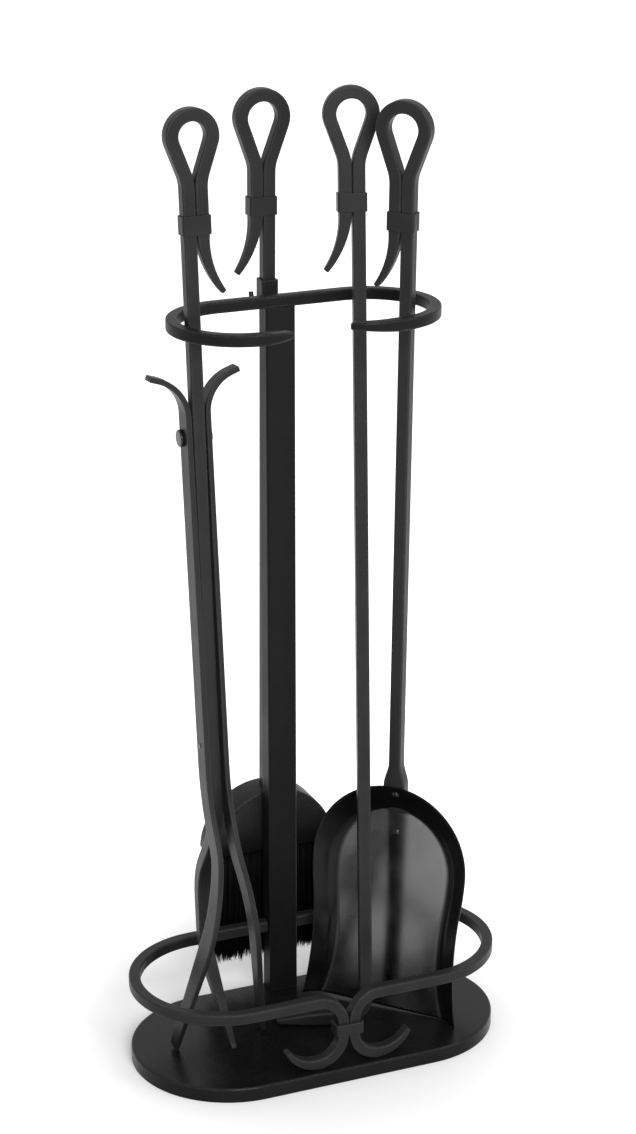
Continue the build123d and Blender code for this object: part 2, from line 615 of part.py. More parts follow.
bed_low = HEAD_LOW + 1
bed = Box(bed_l - 2 * BED_GAP, bed_w - 2 * BED_GAP, BED_THICK - 1 - BED_GAP)
bed = Pos(0, 0, bed_low + (BED_THICK - 1 - BED_GAP) / 2) * bed
step_x = (bed_l - 4 * BED_GAP - BRISTLE_SIZE) / BRISTLE_COLUMNS
step_y = (bed_w - 4 * BED_GAP - BRISTLE_SIZE) / BRISTLE_ROWS
strands = []
for column in range(BRISTLE_COLUMNS):
    for row in range(BRISTLE_ROWS):
        x = (column - (BRISTLE_COLUMNS - 1) / 2) * step_x
        y = (row - (BRISTLE_ROWS - 1) / 2) * step_y
        ragged = BRISTLE_RAGGED * math.sin(2.7 * column + 1.9 * row) * math.cos(1.3 * column - 0.7 * row)
        length = bed_low + 1 - BRISTLE_END + ragged
        root = Pos(x, y, bed_low + 1) * Rectangle(BRISTLE_SIZE, BRISTLE_SIZE)
        aim = Vector(x * BRISTLE_SPLAY, y * BRISTLE_SPLAY, -length)
        strands.append(Solid.extrude(root.faces()[0], aim))
bristles = bed.fuse(*strands)

brush_bar = tool_bar(bar_low, BRUSH_TOP, BRUSH_LOOP_HOLE, BRUSH_COLLAR_DROP)
hanger_in = BAR + 2 * HANGER_GAP
hanger_out = BAR + 2 * HANGER_WALL
hanger = Box(hanger_out, hanger_out, HANGER_HEIGHT) - Box(hanger_in, hanger_in, 2 * HANGER_HEIGHT)
hanger_z = fork_z + FORK_ROD / 2 + REST_GAP + HANGER_HEIGHT / 2
brush = {
    "brush_shaft": brush_bar - pin_spot * Cylinder(HEAD_PIN_DIA / 2, 2 * HEAD_DEPTH),
    "brush_handle_collar": handle_collar(BRUSH_TOP, BRUSH_COLLAR_DROP),
    "brush_hanger_collar": Pos(0, 0, hanger_z) * hanger,
    "brush_head": head,
    "brush_head_pin": head_pin,
    "brush_bristles": bristles,
}
hang = Pos(BRUSH_X, brush_y, 0) * Rot(0, math.degrees(math.atan(BRUSH_SLOPE_X)), 0)
brush = {name: hang * part for name, part in brush.items()}

# One file per piece; the screws are one group of equal solids
pieces = {
    "base_plate": base_plate,
    "post": post,
    "post_cap": post_cap,
    "post_foot_plug": post_foot_plug,
    "base_screws": Compound(children=base_screws),
    "top_rail": top_rail,
    "lower_ring_left": lower_ring_left,
    "lower_ring_right": lower_ring_right,
    "ring_tie_collar": ring_tie_collar,
    "brush_fork": brush_fork,
    **tongs,
    **brush,
    **poker,
    **shovel,
}
os.makedirs("parts", exist_ok=True)
for name, piece in pieces.items():
    export_step(piece, os.path.join("parts", name + ".step"))
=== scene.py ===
import math

import bmesh
import bpy
import numpy as np
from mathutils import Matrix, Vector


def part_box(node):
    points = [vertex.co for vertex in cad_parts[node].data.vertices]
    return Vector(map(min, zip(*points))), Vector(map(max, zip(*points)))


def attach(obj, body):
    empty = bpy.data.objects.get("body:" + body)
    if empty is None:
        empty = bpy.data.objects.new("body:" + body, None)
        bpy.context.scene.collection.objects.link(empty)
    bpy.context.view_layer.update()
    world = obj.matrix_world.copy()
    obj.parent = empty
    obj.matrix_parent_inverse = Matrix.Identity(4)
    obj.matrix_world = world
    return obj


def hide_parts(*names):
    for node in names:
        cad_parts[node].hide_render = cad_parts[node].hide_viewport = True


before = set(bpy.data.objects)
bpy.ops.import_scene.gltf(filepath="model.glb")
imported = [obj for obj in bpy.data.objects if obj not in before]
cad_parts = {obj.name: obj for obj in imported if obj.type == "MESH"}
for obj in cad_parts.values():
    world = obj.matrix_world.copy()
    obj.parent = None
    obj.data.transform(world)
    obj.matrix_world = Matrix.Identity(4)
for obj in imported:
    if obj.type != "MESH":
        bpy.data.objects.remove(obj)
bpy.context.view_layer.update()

# Base plate: a thick oval of flat steel, cut out, its top edge eased and the whole of it powder coated black.
# The coat is a fine satin skin with a faint orange peel, and it thins a little on the eased edges, which are
# painted lighter, partly as wear and partly as a painted highlight.
MM = 0.001
X, Y, Z = np.eye(3)
SIGNS = np.array(((1, 1), (-1, 1), (-1, -1), (1, -1)))
BASE_LENGTH = 318 * MM
BASE_WIDTH = 166 * MM
BASE_THICK = 12.5 * MM
BASE_EDGE = 1.6 * MM
BASE_LOWER_EDGE = 0.4 * MM
BASE_UNDER_MARGIN = 2 * MM
BASE_SIDE_LOW = 1.2 * MM
BASE_TOP_MARGIN = 12 * MM
BASE_STEPS = 40
FLAT_MARGIN = 0.5 * MM
WELD = 0.002 * MM
SLIVER = 0.001 * MM
MOTTLES_PER_METRE = 38.0
SPOTS_PER_METRE = 420.0
WORN_SMOOTHER = 0.08
PEEL_STRENGTH = 0.06
# Lighter tone for edges: partly worn coat, partly a painted highlight.
EDGE_WEAR_AND_HIGHLIGHT_TONE = (0.04, 0.04, 0.041, 1)
STAND_PAINT = (0.016, 0.016, 0.0163, 1)
BASE_PAINT = (0.006, 0.006, 0.0062, 1)


def feed(tree, node, **inputs):
    """Set a node's inputs, by name or as i and a number, to constants or sockets."""
    for name, value in inputs.items():
        socket = node.inputs[int(name[1:])] if name[1:].isdigit() else node.inputs[name.replace("_", " ")]
        if isinstance(value, bpy.types.NodeSocket):
            tree.links.new(value, socket)
        else:
            socket.default_value = value


def linked(tree, kind, settings=(), **inputs):
    """New shader node with its settings and inputs."""
    node = tree.nodes.new(kind)
    for name, value in dict(settings).items():
        setattr(node, name, value)
    feed(tree, node, **inputs)
    return node


def sum_of(tree, operation, first, second, clamp=False):
    """Result of a math node on two values."""
    settings = {"operation": operation, "use_clamp": clamp}
    return linked(tree, "ShaderNodeMath", settings, i0=first, i1=second).outputs[0]


def noise(tree, place, scale, detail):
    """Grey noise at a place, scale cells per unit."""
    return linked(tree, "ShaderNodeTexNoise", Vector=place, Scale=scale, Detail=detail).outputs[0]


def ranged(tree, value, taken, given):
    """A value carried evenly from one range (low, high) to another and held there."""
    ends = {"i1": taken[0], "i2": taken[1], "i3": given[0], "i4": given[1]}
    return linked(tree, "ShaderNodeMapRange", i0=value, **ends).outputs[0]


def mixed(tree, share, first, second):
    """Colour between a first and a second one by a share."""
    return linked(tree, "ShaderNodeMix", {"data_type": "RGBA"}, i0=share, i6=first, i7=second).outputs[2]


def coat_group():
    """Powder coat: broad mottling of the tone and gloss, a fine peel for the bump, and lighter edges where
    the piece's edge attribute and a spotty noise are both high: partly worn coat, partly a painted highlight."""
    group = bpy.data.node_groups.new("powder_coat", "ShaderNodeTree")
    takes = {"Paint": "Color", "Worn": "Color", "Gloss": "Float", "Peel": "Float", "Wear": "Float"}
    gives = {"Color": "Color", "Roughness": "Float", "Height": "Float"}
    for side, sockets in (("INPUT", takes), ("OUTPUT", gives)):
        for name, kind in sockets.items():
            group.interface.new_socket(name, in_out=side, socket_type="NodeSocket" + kind)
    given = group.nodes.new("NodeGroupInput").outputs
    place = group.nodes.new("ShaderNodeTexCoord").outputs["Object"]
    broad = noise(group, place, MOTTLES_PER_METRE, 4.0)
    peel = noise(group, place, given["Peel"], 2.0)
    spots = ranged(group, noise(group, place, SPOTS_PER_METRE, 3.0), (0.42, 0.68), (0.25, 1.0))
    edge = linked(group, "ShaderNodeAttribute", {"attribute_name": "edge"}).outputs["Fac"]
    worn_and_highlit = sum_of(group, "MULTIPLY", sum_of(group, "MULTIPLY", edge, spots), given["Wear"], True)
    tone = ranged(group, broad, (0.3, 0.7), (0.86, 1.14))
    scaled = linked(group, "ShaderNodeVectorMath", {"operation": "SCALE"}, i0=given["Paint"], Scale=tone)
    # Edges mixed toward the lighter tone: wear and a painted highlight.
    colour = mixed(group, worn_and_highlit, scaled.outputs[0], given["Worn"])
    uneven = ranged(group, broad, (0.25, 0.75), (-0.05, 0.05))
    grainy = ranged(group, peel, (0.3, 0.7), (-0.03, 0.03))
    rough = sum_of(group, "ADD", sum_of(group, "ADD", given["Gloss"], uneven), grainy)
    rough = sum_of(group, "SUBTRACT", rough, sum_of(group, "MULTIPLY", worn_and_highlit, WORN_SMOOTHER), True)
    feed(group, group.nodes.new("NodeGroupOutput"), Color=colour, Roughness=rough, Height=peel)
    return group


POWDER_COAT = coat_group()


def coated(name, paint, gloss, shine, peel=900.0, depth=0.05, wear=0.5):
    """Coat on metal or wood: paint tone, gloss (roughness), shine (specular level), peel cells per metre,
    depth of the peel in mm and how far the edges are painted lighter, as wear and as a painted highlight."""
    material = bpy.data.materials.new(name)
    material.use_nodes = True
    tree = material.node_tree
    values = {"Paint": paint, "Worn": EDGE_WEAR_AND_HIGHLIGHT_TONE, "Gloss": gloss, "Peel": peel, "Wear": wear}
    coat = linked(tree, "ShaderNodeGroup", {"node_tree": POWDER_COAT}, **values)
    height = coat.outputs["Height"]
    bump = linked(tree, "ShaderNodeBump", Strength=PEEL_STRENGTH, Distance=depth * MM, Height=height)
    feed(tree, tree.nodes["Principled BSDF"], Base_Color=coat.outputs["Color"], Specular_IOR_Level=shine,
         Roughness=coat.outputs["Roughness"], Normal=bump.outputs["Normal"])
    return material


def rounded_rectangle(length, width, radius, steps=8):
    """Outline (x, y) and outward normals of a rectangle with quarter-circle corners, from the +x side round
    to the left. Each flat gets a point just inside its two ends, so that it stays flat when shaded."""
    angles = np.radians(np.linspace(0, 90, steps + 1))
    flats = width / 2 - radius, length / 2 - radius
    points, normals = [], []
    for corner, (side_x, side_y) in enumerate(SIGNS):
        turn = angles + corner * np.pi / 2
        normal = np.stack((np.cos(turn), np.sin(turn)), axis=1)
        centre = np.array((side_x * (length / 2 - radius), side_y * (width / 2 - radius)))
        arc = centre + radius * normal
        near, far = (min(FLAT_MARGIN, flats[(corner + k) % 2] / 2) for k in (0, 1))
        before = arc[0] - near * np.array((-normal[0, 1], normal[0, 0]))
        after = arc[-1] + far * np.array((-normal[-1, 1], normal[-1, 0]))
        points += [before[None], arc, after[None]]
        normals += [normal[:1], normal, normal[-1:]]
    return np.concatenate(points), np.concatenate(normals)


def quarter(radius, start, steps=4):
    """Quarter circle of points (out, up) about (0, 0), turning left from a start angle in degrees."""
    turn = np.radians(start + np.linspace(0, 90, steps + 1))
    return radius * np.stack((np.cos(turn), np.sin(turn)), axis=1)


def around(outline, profile):
    """Surface outline + out * normal at height up, for each profile point (out, up, edge mark)."""
    points, normals = outline
    flat = points[None] + profile[:, None, :1] * normals[None]
    height = np.broadcast_to(profile[:, None, 1:2], flat.shape[:2] + (1,))
    marks = np.broadcast_to(profile[:, 2:3], flat.shape[:2])
    return np.concatenate((flat, height), axis=2), marks


def grid_faces(rows, columns, close_rows=False, close_columns=False, start=0):
    """Quads of a grid of vertices numbered row by row, joined end to end where a direction is closed."""
    row = np.arange(rows if close_rows else rows - 1)[:, None]
    column = np.arange(columns if close_columns else columns - 1)[None]
    low, high = row * columns, (row + 1) % rows * columns
    left, right = column, (column + 1) % columns
    return start + np.stack((low + left, low + right, high + right, high + left), axis=2).reshape(-1, 4)


def placed(name, data):
    """New object in the scene."""
    thing = bpy.data.objects.new(name, data)
    bpy.context.scene.collection.objects.link(thing)
    return thing


def piece(name, points, faces, material, body, slot, **marks):
    """Mesh object from vertices and faces, doubles merged and faces turned outwards, riding on its body in
    place of the solid of its name. Each mark becomes a vertex attribute, such as the coat's worn edge."""
    mesh = bpy.data.meshes.new(name)
    mesh.from_pydata(np.reshape(points, (-1, 3)).tolist(), [], [list(face) for face in faces])
    for mark, values in marks.items():
        mesh.attributes.new(mark, "FLOAT", "POINT").data.foreach_set("value", np.ravel(values).astype(float))
    shape = bmesh.new()
    shape.from_mesh(mesh)
    bmesh.ops.remove_doubles(shape, verts=shape.verts, dist=WELD)
    bmesh.ops.dissolve_degenerate(shape, edges=shape.edges, dist=SLIVER)
    bmesh.ops.recalc_face_normals(shape, faces=shape.faces)
    shape.to_mesh(mesh)
    shape.free()
    mesh.polygons.foreach_set("use_smooth", np.ones(len(mesh.polygons), bool))
    mesh.materials.append(material)
    thing = placed(name, mesh)
    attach(thing, body)
    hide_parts(name)


def marked(points, mark):
    """Profile points with an edge mark added as a third column."""
    return np.column_stack((points, np.full(len(points), mark)))


stand_coat = coated("stand_coat", STAND_PAINT, gloss=0.40, shine=0.11)
base_coat = coated("base_coat", BASE_PAINT, gloss=0.26, shine=0.12, wear=0.35)

eased = quarter(BASE_EDGE, 0) + (-BASE_EDGE, BASE_THICK - BASE_EDGE)
lower = quarter(BASE_LOWER_EDGE, -90, 2) + (-BASE_LOWER_EDGE, BASE_LOWER_EDGE)
top_ends = (BASE_EDGE + FLAT_MARGIN, BASE_TOP_MARGIN, BASE_WIDTH / 2)
base_profile = np.concatenate((
    marked([(-BASE_WIDTH / 2, 0), (-BASE_UNDER_MARGIN, 0)], 0),
    marked(lower, 0.3),
    marked([(0, BASE_SIDE_LOW), (0, BASE_THICK - BASE_EDGE - FLAT_MARGIN)], 0),
    marked(eased, 1),
    marked([(-inset, BASE_THICK) for inset in top_ends], 0),
))
base_outline = rounded_rectangle(BASE_LENGTH, BASE_WIDTH, BASE_WIDTH / 2, BASE_STEPS)
base_points, base_marks = around(base_outline, base_profile)
base_faces = grid_faces(*base_marks.shape, close_columns=True)
piece("base_plate", base_points, base_faces, base_coat, "stand", "stand_black", edge=base_marks)

# Post: rectangular steel tube, its corners rolled, standing on the back edge of the base with a cap let into
# its top and a plug at its foot that two screws from below pull down.
POST_WIDTH = 25.4 * MM
POST_DEPTH = 18 * MM
POST_WALL = 1.6 * MM
POST_CORNER = 2.5 * MM
RAIL_TOP = 632 * MM
RAIL_BAR = 9.5 * MM
TUBE_EDGE = 0.4 * MM
# Darker copy of the stand's black paint: painted shade on the post and the top rail.
SHADED_STAND_PAINT = (0.0065, 0.0065, 0.0066, 1)
STEEL_TONE = (0.32, 0.32, 0.33, 1)

# Painted shade: the post and the top rail get this darker copy of the stand's coat.
shaded_stand_coat = coated("shaded_stand_coat", SHADED_STAND_PAINT, gloss=0.42, shine=0.08)
post_y = BASE_WIDTH / 2 - POST_DEPTH / 2
post_top = RAIL_TOP - RAIL_BAR


def ring_profile(wall, low, high, edge):
    """Closed section of a tube or band about its mid line: wall by height, corners rounded by edge, a point
    just inside each end of its flats."""
    half = wall / 2 - edge
    margin = min(FLAT_MARGIN, half / 2)
    parts = []
    middles = ((half, high - edge), (-half, high - edge), (-half, low + edge), (half, low + edge))
    for turn, middle in enumerate(middles):
        arc = quarter(edge, 90 * turn, 3) + middle
        arrive, leave = quarter(margin, 90 * turn + 90, 1)
        parts += [marked([arc[0] - arrive], 0), marked(arc, 1), marked([arc[-1] + leave], 0)]
    return np.concatenate(parts)


def band(name, length, width, wall, low, high, corner, edge, spot, *more):
    """Tube or folded band round a rounded rectangle, length by width inside, put in place by spot."""
    outline = rounded_rectangle(length + wall, width + wall, corner)
    points, marks = around(outline, ring_profile(wall, low, high, edge))
    piece(name, spot(points), grid_faces(*marks.shape, True, True), *more, edge=marks)


band("post", POST_WIDTH - 2 * POST_WALL, POST_DEPTH - 2 * POST_WALL, POST_WALL, BASE_THICK, post_top,
     POST_CORNER - POST_WALL / 2, TUBE_EDGE, lambda p: p + post_y * Y,
     shaded_stand_coat, "stand", "stand_black")


def finished(node, material):
    """Give a solid that shows as it is its material."""
    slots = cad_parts[node].data.materials
    slots.clear()
    slots.append(material)


bare_steel = coated("bare_steel", STEEL_TONE, gloss=0.34, shine=0.5, wear=0)
feed(bare_steel.node_tree, bare_steel.node_tree.nodes["Principled BSDF"], Metallic=1.0)
finished("post_cap", stand_coat)
finished("post_foot_plug", bare_steel)
finished("base_screws", bare_steel)

# Top rail: one square bar bent to an open oval that rests on the post top. Its two ends run in towards the
# front gap, where the tools go in and out, and are drawn thinner as they curl.
RAIL_HALF = 54.5 * MM
RAIL_RADIUS = 53.25 * MM
RAIL_CURL_RADIUS = 50 * MM
RAIL_CURL_RIGHT = 40.0
RAIL_CURL_LEFT = 26.0
RAIL_TIP = 5.5 * MM
BAR_EDGE = 1.3 * MM
END_EDGE = 0.9 * MM
END_MARK = 0.6
END_CLEAR = 1.5
FLAT_SHARE = 0.1
CORNER_SHARE = 0.499


def route(start, heading, *steps, gap=9 * MM, turn=4.0):
    """Points and headings of a path of runs (length,) and bends (radius, degrees, axis). A bend turns the
    heading h about its axis a: point + r (sin t h + (1 - cos t) a x h), heading cos t h + sin t a x h."""
    points, headings = [np.array(start, float)[None]], [np.array(heading, float)[None]]
    for step in steps:
        point, along = points[-1][-1], headings[-1][-1]
        if len(step) == 1:
            share = np.linspace(0, step[0], int(max(1, math.ceil(step[0] / gap))) + 1)[1:, None]
            points.append(point + share * along)
            headings.append(np.repeat(along[None], len(share), axis=0))
        else:
            radius, degrees, axis = step
            side = np.cross(axis, along) * np.sign(degrees)
            count = int(max(2, math.ceil(abs(degrees) / turn)))
            angle = np.radians(np.linspace(0, abs(degrees), count + 1))[1:, None]
            points.append(point + radius * (np.sin(angle) * along + (1 - np.cos(angle)) * side))
            headings.append(np.cos(angle) * along + np.sin(angle) * side)
    return np.concatenate(points), np.concatenate(headings)


def lengths(points):
    """Distance along a path up to each of its points."""
    return np.concatenate(((0,), np.cumsum(np.linalg.norm(np.diff(points, axis=0), axis=1))))


def unit(vectors):
    """Vectors scaled to length 1."""
    return vectors / np.linalg.norm(vectors, axis=-1, keepdims=True)


def carried(headings, side):
    """Side direction at each point of a path: the first one carried along, made square to each heading."""
    sides = [np.array(side, float)]
    for along in headings:
        sides.append(unit(sides[-1] - (sides[-1] @ along) * along))
    return np.array(sides[1:])


def section(wide, deep, corner, steps=4):
    """Rounded rectangles, one for each wide by deep, and the edge mark of each of their points."""
    corner = np.minimum(corner, CORNER_SHARE * np.minimum(wide, deep))
    half = np.stack((wide / 2 - corner, deep / 2 - corner), axis=1)[:, None]
    arcs = [corner[:, None, None] * quarter(1.0, 90 * turn, steps) for turn in range(4)]
    grid = np.stack([sign * half + arc for sign, arc in zip(SIGNS, arcs)], axis=1)
    ends, starts = np.roll(grid[:, :, -1], 1, axis=1), np.roll(grid[:, :, 0], -1, axis=1)
    lead = grid[:, :, 0] + FLAT_SHARE * (ends - grid[:, :, 0])
    trail = grid[:, :, -1] + FLAT_SHARE * (starts - grid[:, :, -1])
    ring = np.concatenate((lead[:, :, None], grid, trail[:, :, None]), axis=2)
    mark = np.tile(np.concatenate(((0,), np.ones(steps + 1), (0,))), 4)
    return ring.reshape(len(wide), -1, 2), mark


def swept(path, side, wide, deep, corner=BAR_EDGE, end=END_EDGE):
    """Bar of rounded-rectangle section along a path: ring i is point i + a side i + b (heading i x side i).
    Both ends are rounded off: rings at end (1 - cos t) shrink by end (1 - sin t), and a point closes them."""
    points, headings = path
    run = lengths(points)
    sides = carried(headings, side) if np.ndim(side) == 1 else side
    wide, deep = (np.broadcast_to(size, run.shape) for size in (wide, deep))
    bend = np.radians(np.linspace(0, 90, 5))
    tuck, shrink = end * (1 - np.cos(bend)), end * (1 - np.sin(bend))
    inner = (run > END_CLEAR * end) & (run < run[-1] - END_CLEAR * end)
    at = np.concatenate((tuck, run[inner], run[-1] - tuck[::-1]))
    less = np.concatenate((shrink, np.zeros(inner.sum()), shrink[::-1]))
    follow = lambda values: np.stack([np.interp(at, run, column) for column in np.transpose(values)], axis=1)
    middle, along, across = follow(points), follow(headings), follow(sides)
    other = np.cross(along, across)
    wide, deep = (np.interp(at, run, size) - 2 * less for size in (wide, deep))
    ring, mark = section(wide, deep, corner)
    grid = middle[:, None] + ring[..., :1] * across[:, None] + ring[..., 1:] * other[:, None]
    rows, columns = grid.shape[:2]
    faces = grid_faces(rows, columns, close_columns=True).tolist()
    turn = np.arange(columns)
    for first, centre in ((0, rows * columns), ((rows - 1) * columns, rows * columns + 1)):
        fan = (first + turn, first + np.roll(turn, -1), np.full(columns, centre))
        faces += np.stack(fan, axis=1).tolist()
    marks = np.tile(mark, (rows, 1))
    marks[less > 0] = np.maximum(marks[less > 0], END_MARK)
    vertices = np.concatenate((grid.reshape(-1, 3), middle[[0, -1]]))
    return vertices, faces, np.concatenate((marks.ravel(), (0, 0)))


def bar(name, shape, material, body, slot):
    """Piece from what swept gives."""
    points, faces, marks = shape
    piece(name, points, faces, material, body, slot, edge=marks)


def drawn(run, start, stop, full, tip):
    """Size along a path that goes evenly from full at start to tip at stop."""
    return full + (tip - full) * np.clip((run - start) / (stop - start), 0, 1)


rail_y = post_y - POST_DEPTH / 2 + RAIL_BAR / 2
rail_z = RAIL_TOP - RAIL_BAR / 2
rail_half = (0, rail_y, rail_z), X, (RAIL_HALF,), (RAIL_RADIUS, -180, Z)
left_points, left_headings = route(*rail_half, (RAIL_CURL_RADIUS, -RAIL_CURL_LEFT, Z))
right_points, right_headings = route(*rail_half, (RAIL_CURL_RADIUS, -RAIL_CURL_RIGHT, Z))
rail_points = np.concatenate((left_points[:0:-1] * (-1, 1, 1), right_points))
rail_headings = np.concatenate((left_headings[:0:-1] * (1, -1, 1), right_headings))
rail_run = lengths(rail_points)
left_curl = math.radians(RAIL_CURL_LEFT) * RAIL_CURL_RADIUS
right_curl = rail_run[-1] - math.radians(RAIL_CURL_RIGHT) * RAIL_CURL_RADIUS
rail_high = np.minimum(drawn(rail_run, left_curl, 0, RAIL_BAR, RAIL_TIP),
                       drawn(rail_run, right_curl, rail_run[-1], RAIL_BAR, RAIL_TIP))
rail = swept((rail_points, rail_headings), Z, rail_high, RAIL_BAR)
# The top rail takes the darker copy of the stand coat, as painted shade.
bar("top_rail", rail, shaded_stand_coat, "stand", "stand_black")

# Lower ring: two square bars welded to the sides of the post, bent round to the front, turned down together
# and finished as outward scrolls that stand on the base, with a folded collar tying the pair.
RING_BAR = 9.5 * MM
RING_TOP = 77.5 * MM
RING_HALF = 82 * MM
RING_RADIUS = 73.15 * MM
RING_DROP_RADIUS = 22 * MM
RING_PAIR_GAP = 0.4 * MM
SCROLL_RADIUS = 22.75 * MM
SCROLL_END_RADIUS = 30 * MM
SCROLL_END_ANGLE = 62.0
SCROLL_TIP = 4.5 * MM
TIE_WALL = 2.6 * MM
TIE_HEIGHT = 10.5 * MM
TIE_GAP = 0.05 * MM
TIE_CORNER = 1.4 * MM
TIE_EDGE = 0.7 * MM

ring_z = RING_TOP - RING_BAR / 2
front_y = post_y - 2 * RING_RADIUS
drop_x = (RING_BAR + RING_PAIR_GAP) / 2
scroll_low = BASE_THICK + RING_BAR / 2 + SCROLL_RADIUS
drop = ring_z - RING_DROP_RADIUS - scroll_low
ring_path = route(
    (POST_WIDTH / 2, post_y, ring_z), X,
    (RING_HALF - POST_WIDTH / 2,), (RING_RADIUS, -180, Z), (RING_HALF - drop_x - RING_DROP_RADIUS,),
    (RING_DROP_RADIUS, 90, -Y), (drop,), (SCROLL_RADIUS, 90, -Y), (SCROLL_END_RADIUS, SCROLL_END_ANGLE, -Y),
)
ring_run = lengths(ring_path[0])
scroll_draw = ring_run[-1] - math.radians(SCROLL_END_ANGLE) * SCROLL_END_RADIUS
ring_thick = drawn(ring_run, scroll_draw, ring_run[-1], RING_BAR, SCROLL_TIP)
points, faces, marks = swept(ring_path, Z, ring_thick, RING_BAR)
for name, side in (("lower_ring_right", 1), ("lower_ring_left", -1)):
    bar(name, (points * (side, 1, 1), faces, marks), stand_coat, "stand", "stand_black")
tie_z = (ring_z - RING_DROP_RADIUS + scroll_low) / 2
band("ring_tie_collar", 2 * RING_BAR + RING_PAIR_GAP + 2 * TIE_GAP, RING_BAR + 2 * TIE_GAP, TIE_WALL,
     tie_z - TIE_HEIGHT / 2, tie_z + TIE_HEIGHT / 2, TIE_CORNER, TIE_EDGE, lambda p: p + front_y * Y,
     stand_coat, "stand", "stand_black")

# Brush fork: a round steel rod bent to a U, welded behind the post and coated with it. Its two ends are
# turned up so that the brush can't slip off.
FORK_ROD = 4 * MM
FORK_SPACING = 16 * MM
FORK_DROP = 14 * MM
FORK_REACH = 27 * MM
FORK_LIP = 7 * MM
FORK_CORNER = 3.5 * MM
FORK_END = 0.8 * MM
BRUSH_X = -3.3 * MM
BRUSH_SLOPE_X = 0.0078


def cornered(corners, radius):
    """Path through corner points with each corner rounded by a bend of one radius."""
    corners = np.array(corners, float)
    ways = np.diff(corners, axis=0)
    runs = np.linalg.norm(ways, axis=1)
    ways = unit(ways)
    steps, spent = [], 0.0
    for before, after, run in zip(ways, ways[1:], runs):
        axis = np.cross(before, after)
        angle = math.atan2(np.linalg.norm(axis), before @ after)
        trim = radius * math.tan(angle / 2)
        steps += [(run - spent - trim,), (radius, math.degrees(angle), unit(axis))]
        spent = trim
    return route(corners[0], ways[0], *steps, (runs[-1] - spent,), turn=10.0)


fork_y = BASE_WIDTH / 2 + FORK_ROD / 2
fork_z = RAIL_TOP - FORK_DROP
fork_end = fork_y + FORK_REACH
hang_x = BRUSH_X + BRUSH_SLOPE_X * fork_z
fork_x = hang_x - FORK_SPACING / 2
fork_tip = (fork_x, fork_end + FORK_LIP / 3, fork_z + FORK_LIP)
fork_side = [fork_tip, (fork_x, fork_end, fork_z), (fork_x, fork_y, fork_z)]
fork_corners = fork_side + [(2 * hang_x - x, y, z) for x, y, z in fork_side[::-1]]
fork = swept(cornered(fork_corners, FORK_CORNER), X, FORK_ROD, FORK_ROD, FORK_ROD / 2, FORK_END)
bar("brush_fork", fork, stand_coat, "stand", "stand_black")

# Poker: one square bar, bent at the foot to a tapering hook and forged at the top to a loop whose end comes
# back down beside the shaft, is bound to it by a folded collar and flares away as a drawn tail.
BAR = 10.5 * MM
LOOP_NECK_ANGLE = 20.0
LOOP_NECK_RADIUS = 35 * MM
LEG_PITCH = 10.7 * MM
COLLAR_HEIGHT = 15 * MM
COLLAR_WALL = 1.2 * MM
COLLAR_GAP = 0.05 * MM
COLLAR_CORNER = 1.3 * MM
COLLAR_EDGE = 0.45 * MM
TAIL_RADIUS = 76 * MM
TAIL_ANGLE = 38.0
TAIL_TIP_THICK = 4.2 * MM
TAIL_TIP_DEPTH = 6.5 * MM
POKER_TOP = 801 * MM
POKER_LOOP_HOLE = 24 * MM
POKER_COLLAR_DROP = 84 * MM
POKER_STANCE = (41.8 * MM, -15.4 * MM, -15.0, 0.023, 0.0861)
HOOK_BEND = 16 * MM
HOOK_LENGTH = 76 * MM
HOOK_TAPER = 33 * MM
HOOK_TIP = 4 * MM
HOOK_SINK = 0.1 * BAR
TOOL_PAINT = (0.0165, 0.0165, 0.0168, 1)

tool_coat = coated("tool_coat", TOOL_PAINT, gloss=0.38, shine=0.12)


def loop_steps(top, hole, drop, foot):
    """Steps of a handle from a foot height: up the shaft, out, round the loop, back in, down the second leg
    and out along the tail."""
    radius = (hole + BAR) / 2
    lean = math.radians(LOOP_NECK_ANGLE)
    wide = radius * math.cos(lean) - LOOP_NECK_RADIUS * (1 - math.cos(lean))
    slant = (wide - LEG_PITCH / 2) / math.sin(lean)
    neck = top - BAR / 2 - radius - (radius + LOOP_NECK_RADIUS) * math.sin(lean) - slant * math.cos(lean)
    leg = neck - (top - drop - COLLAR_HEIGHT)
    neck_in, neck_out = (LOOP_NECK_RADIUS, -LOOP_NECK_ANGLE, -Y), (slant,)
    crown, tail = (radius, 180 + 2 * LOOP_NECK_ANGLE, -Y), (TAIL_RADIUS, -TAIL_ANGLE, -Y)
    return (neck - foot,), neck_in, neck_out, crown, neck_out, neck_in, (leg,), tail


def tail_sizes(run):
    """Two sizes of a tool bar along its path: square up to the tail, then drawn down."""
    start = run[-1] - math.radians(TAIL_ANGLE) * TAIL_RADIUS
    return drawn(run, start, run[-1], BAR, TAIL_TIP_THICK), drawn(run, start, run[-1], BAR, TAIL_TIP_DEPTH)


def turned_about(axis, angle):
    """Matrix of a turn by an angle about a unit axis a: cos I + sin [a]x + (1 - cos) a a^T."""
    across = np.cross(axis, np.eye(3)).T
    kept = (1 - math.cos(angle)) * np.outer(axis, axis)
    return math.cos(angle) * np.eye(3) + math.sin(angle) * across + kept


def stance(x, y, yaw, slope_x, slope_y):
    """Function that turns points by the yaw, leans them by the slopes and sets them at x and y."""
    turn = turned_about(X, -math.atan(slope_y)) @ turned_about(Y, math.atan(slope_x))
    turn = turn @ turned_about(Z, math.radians(yaw))
    return lambda points: np.asarray(points) @ turn.T + (x, y, 0)


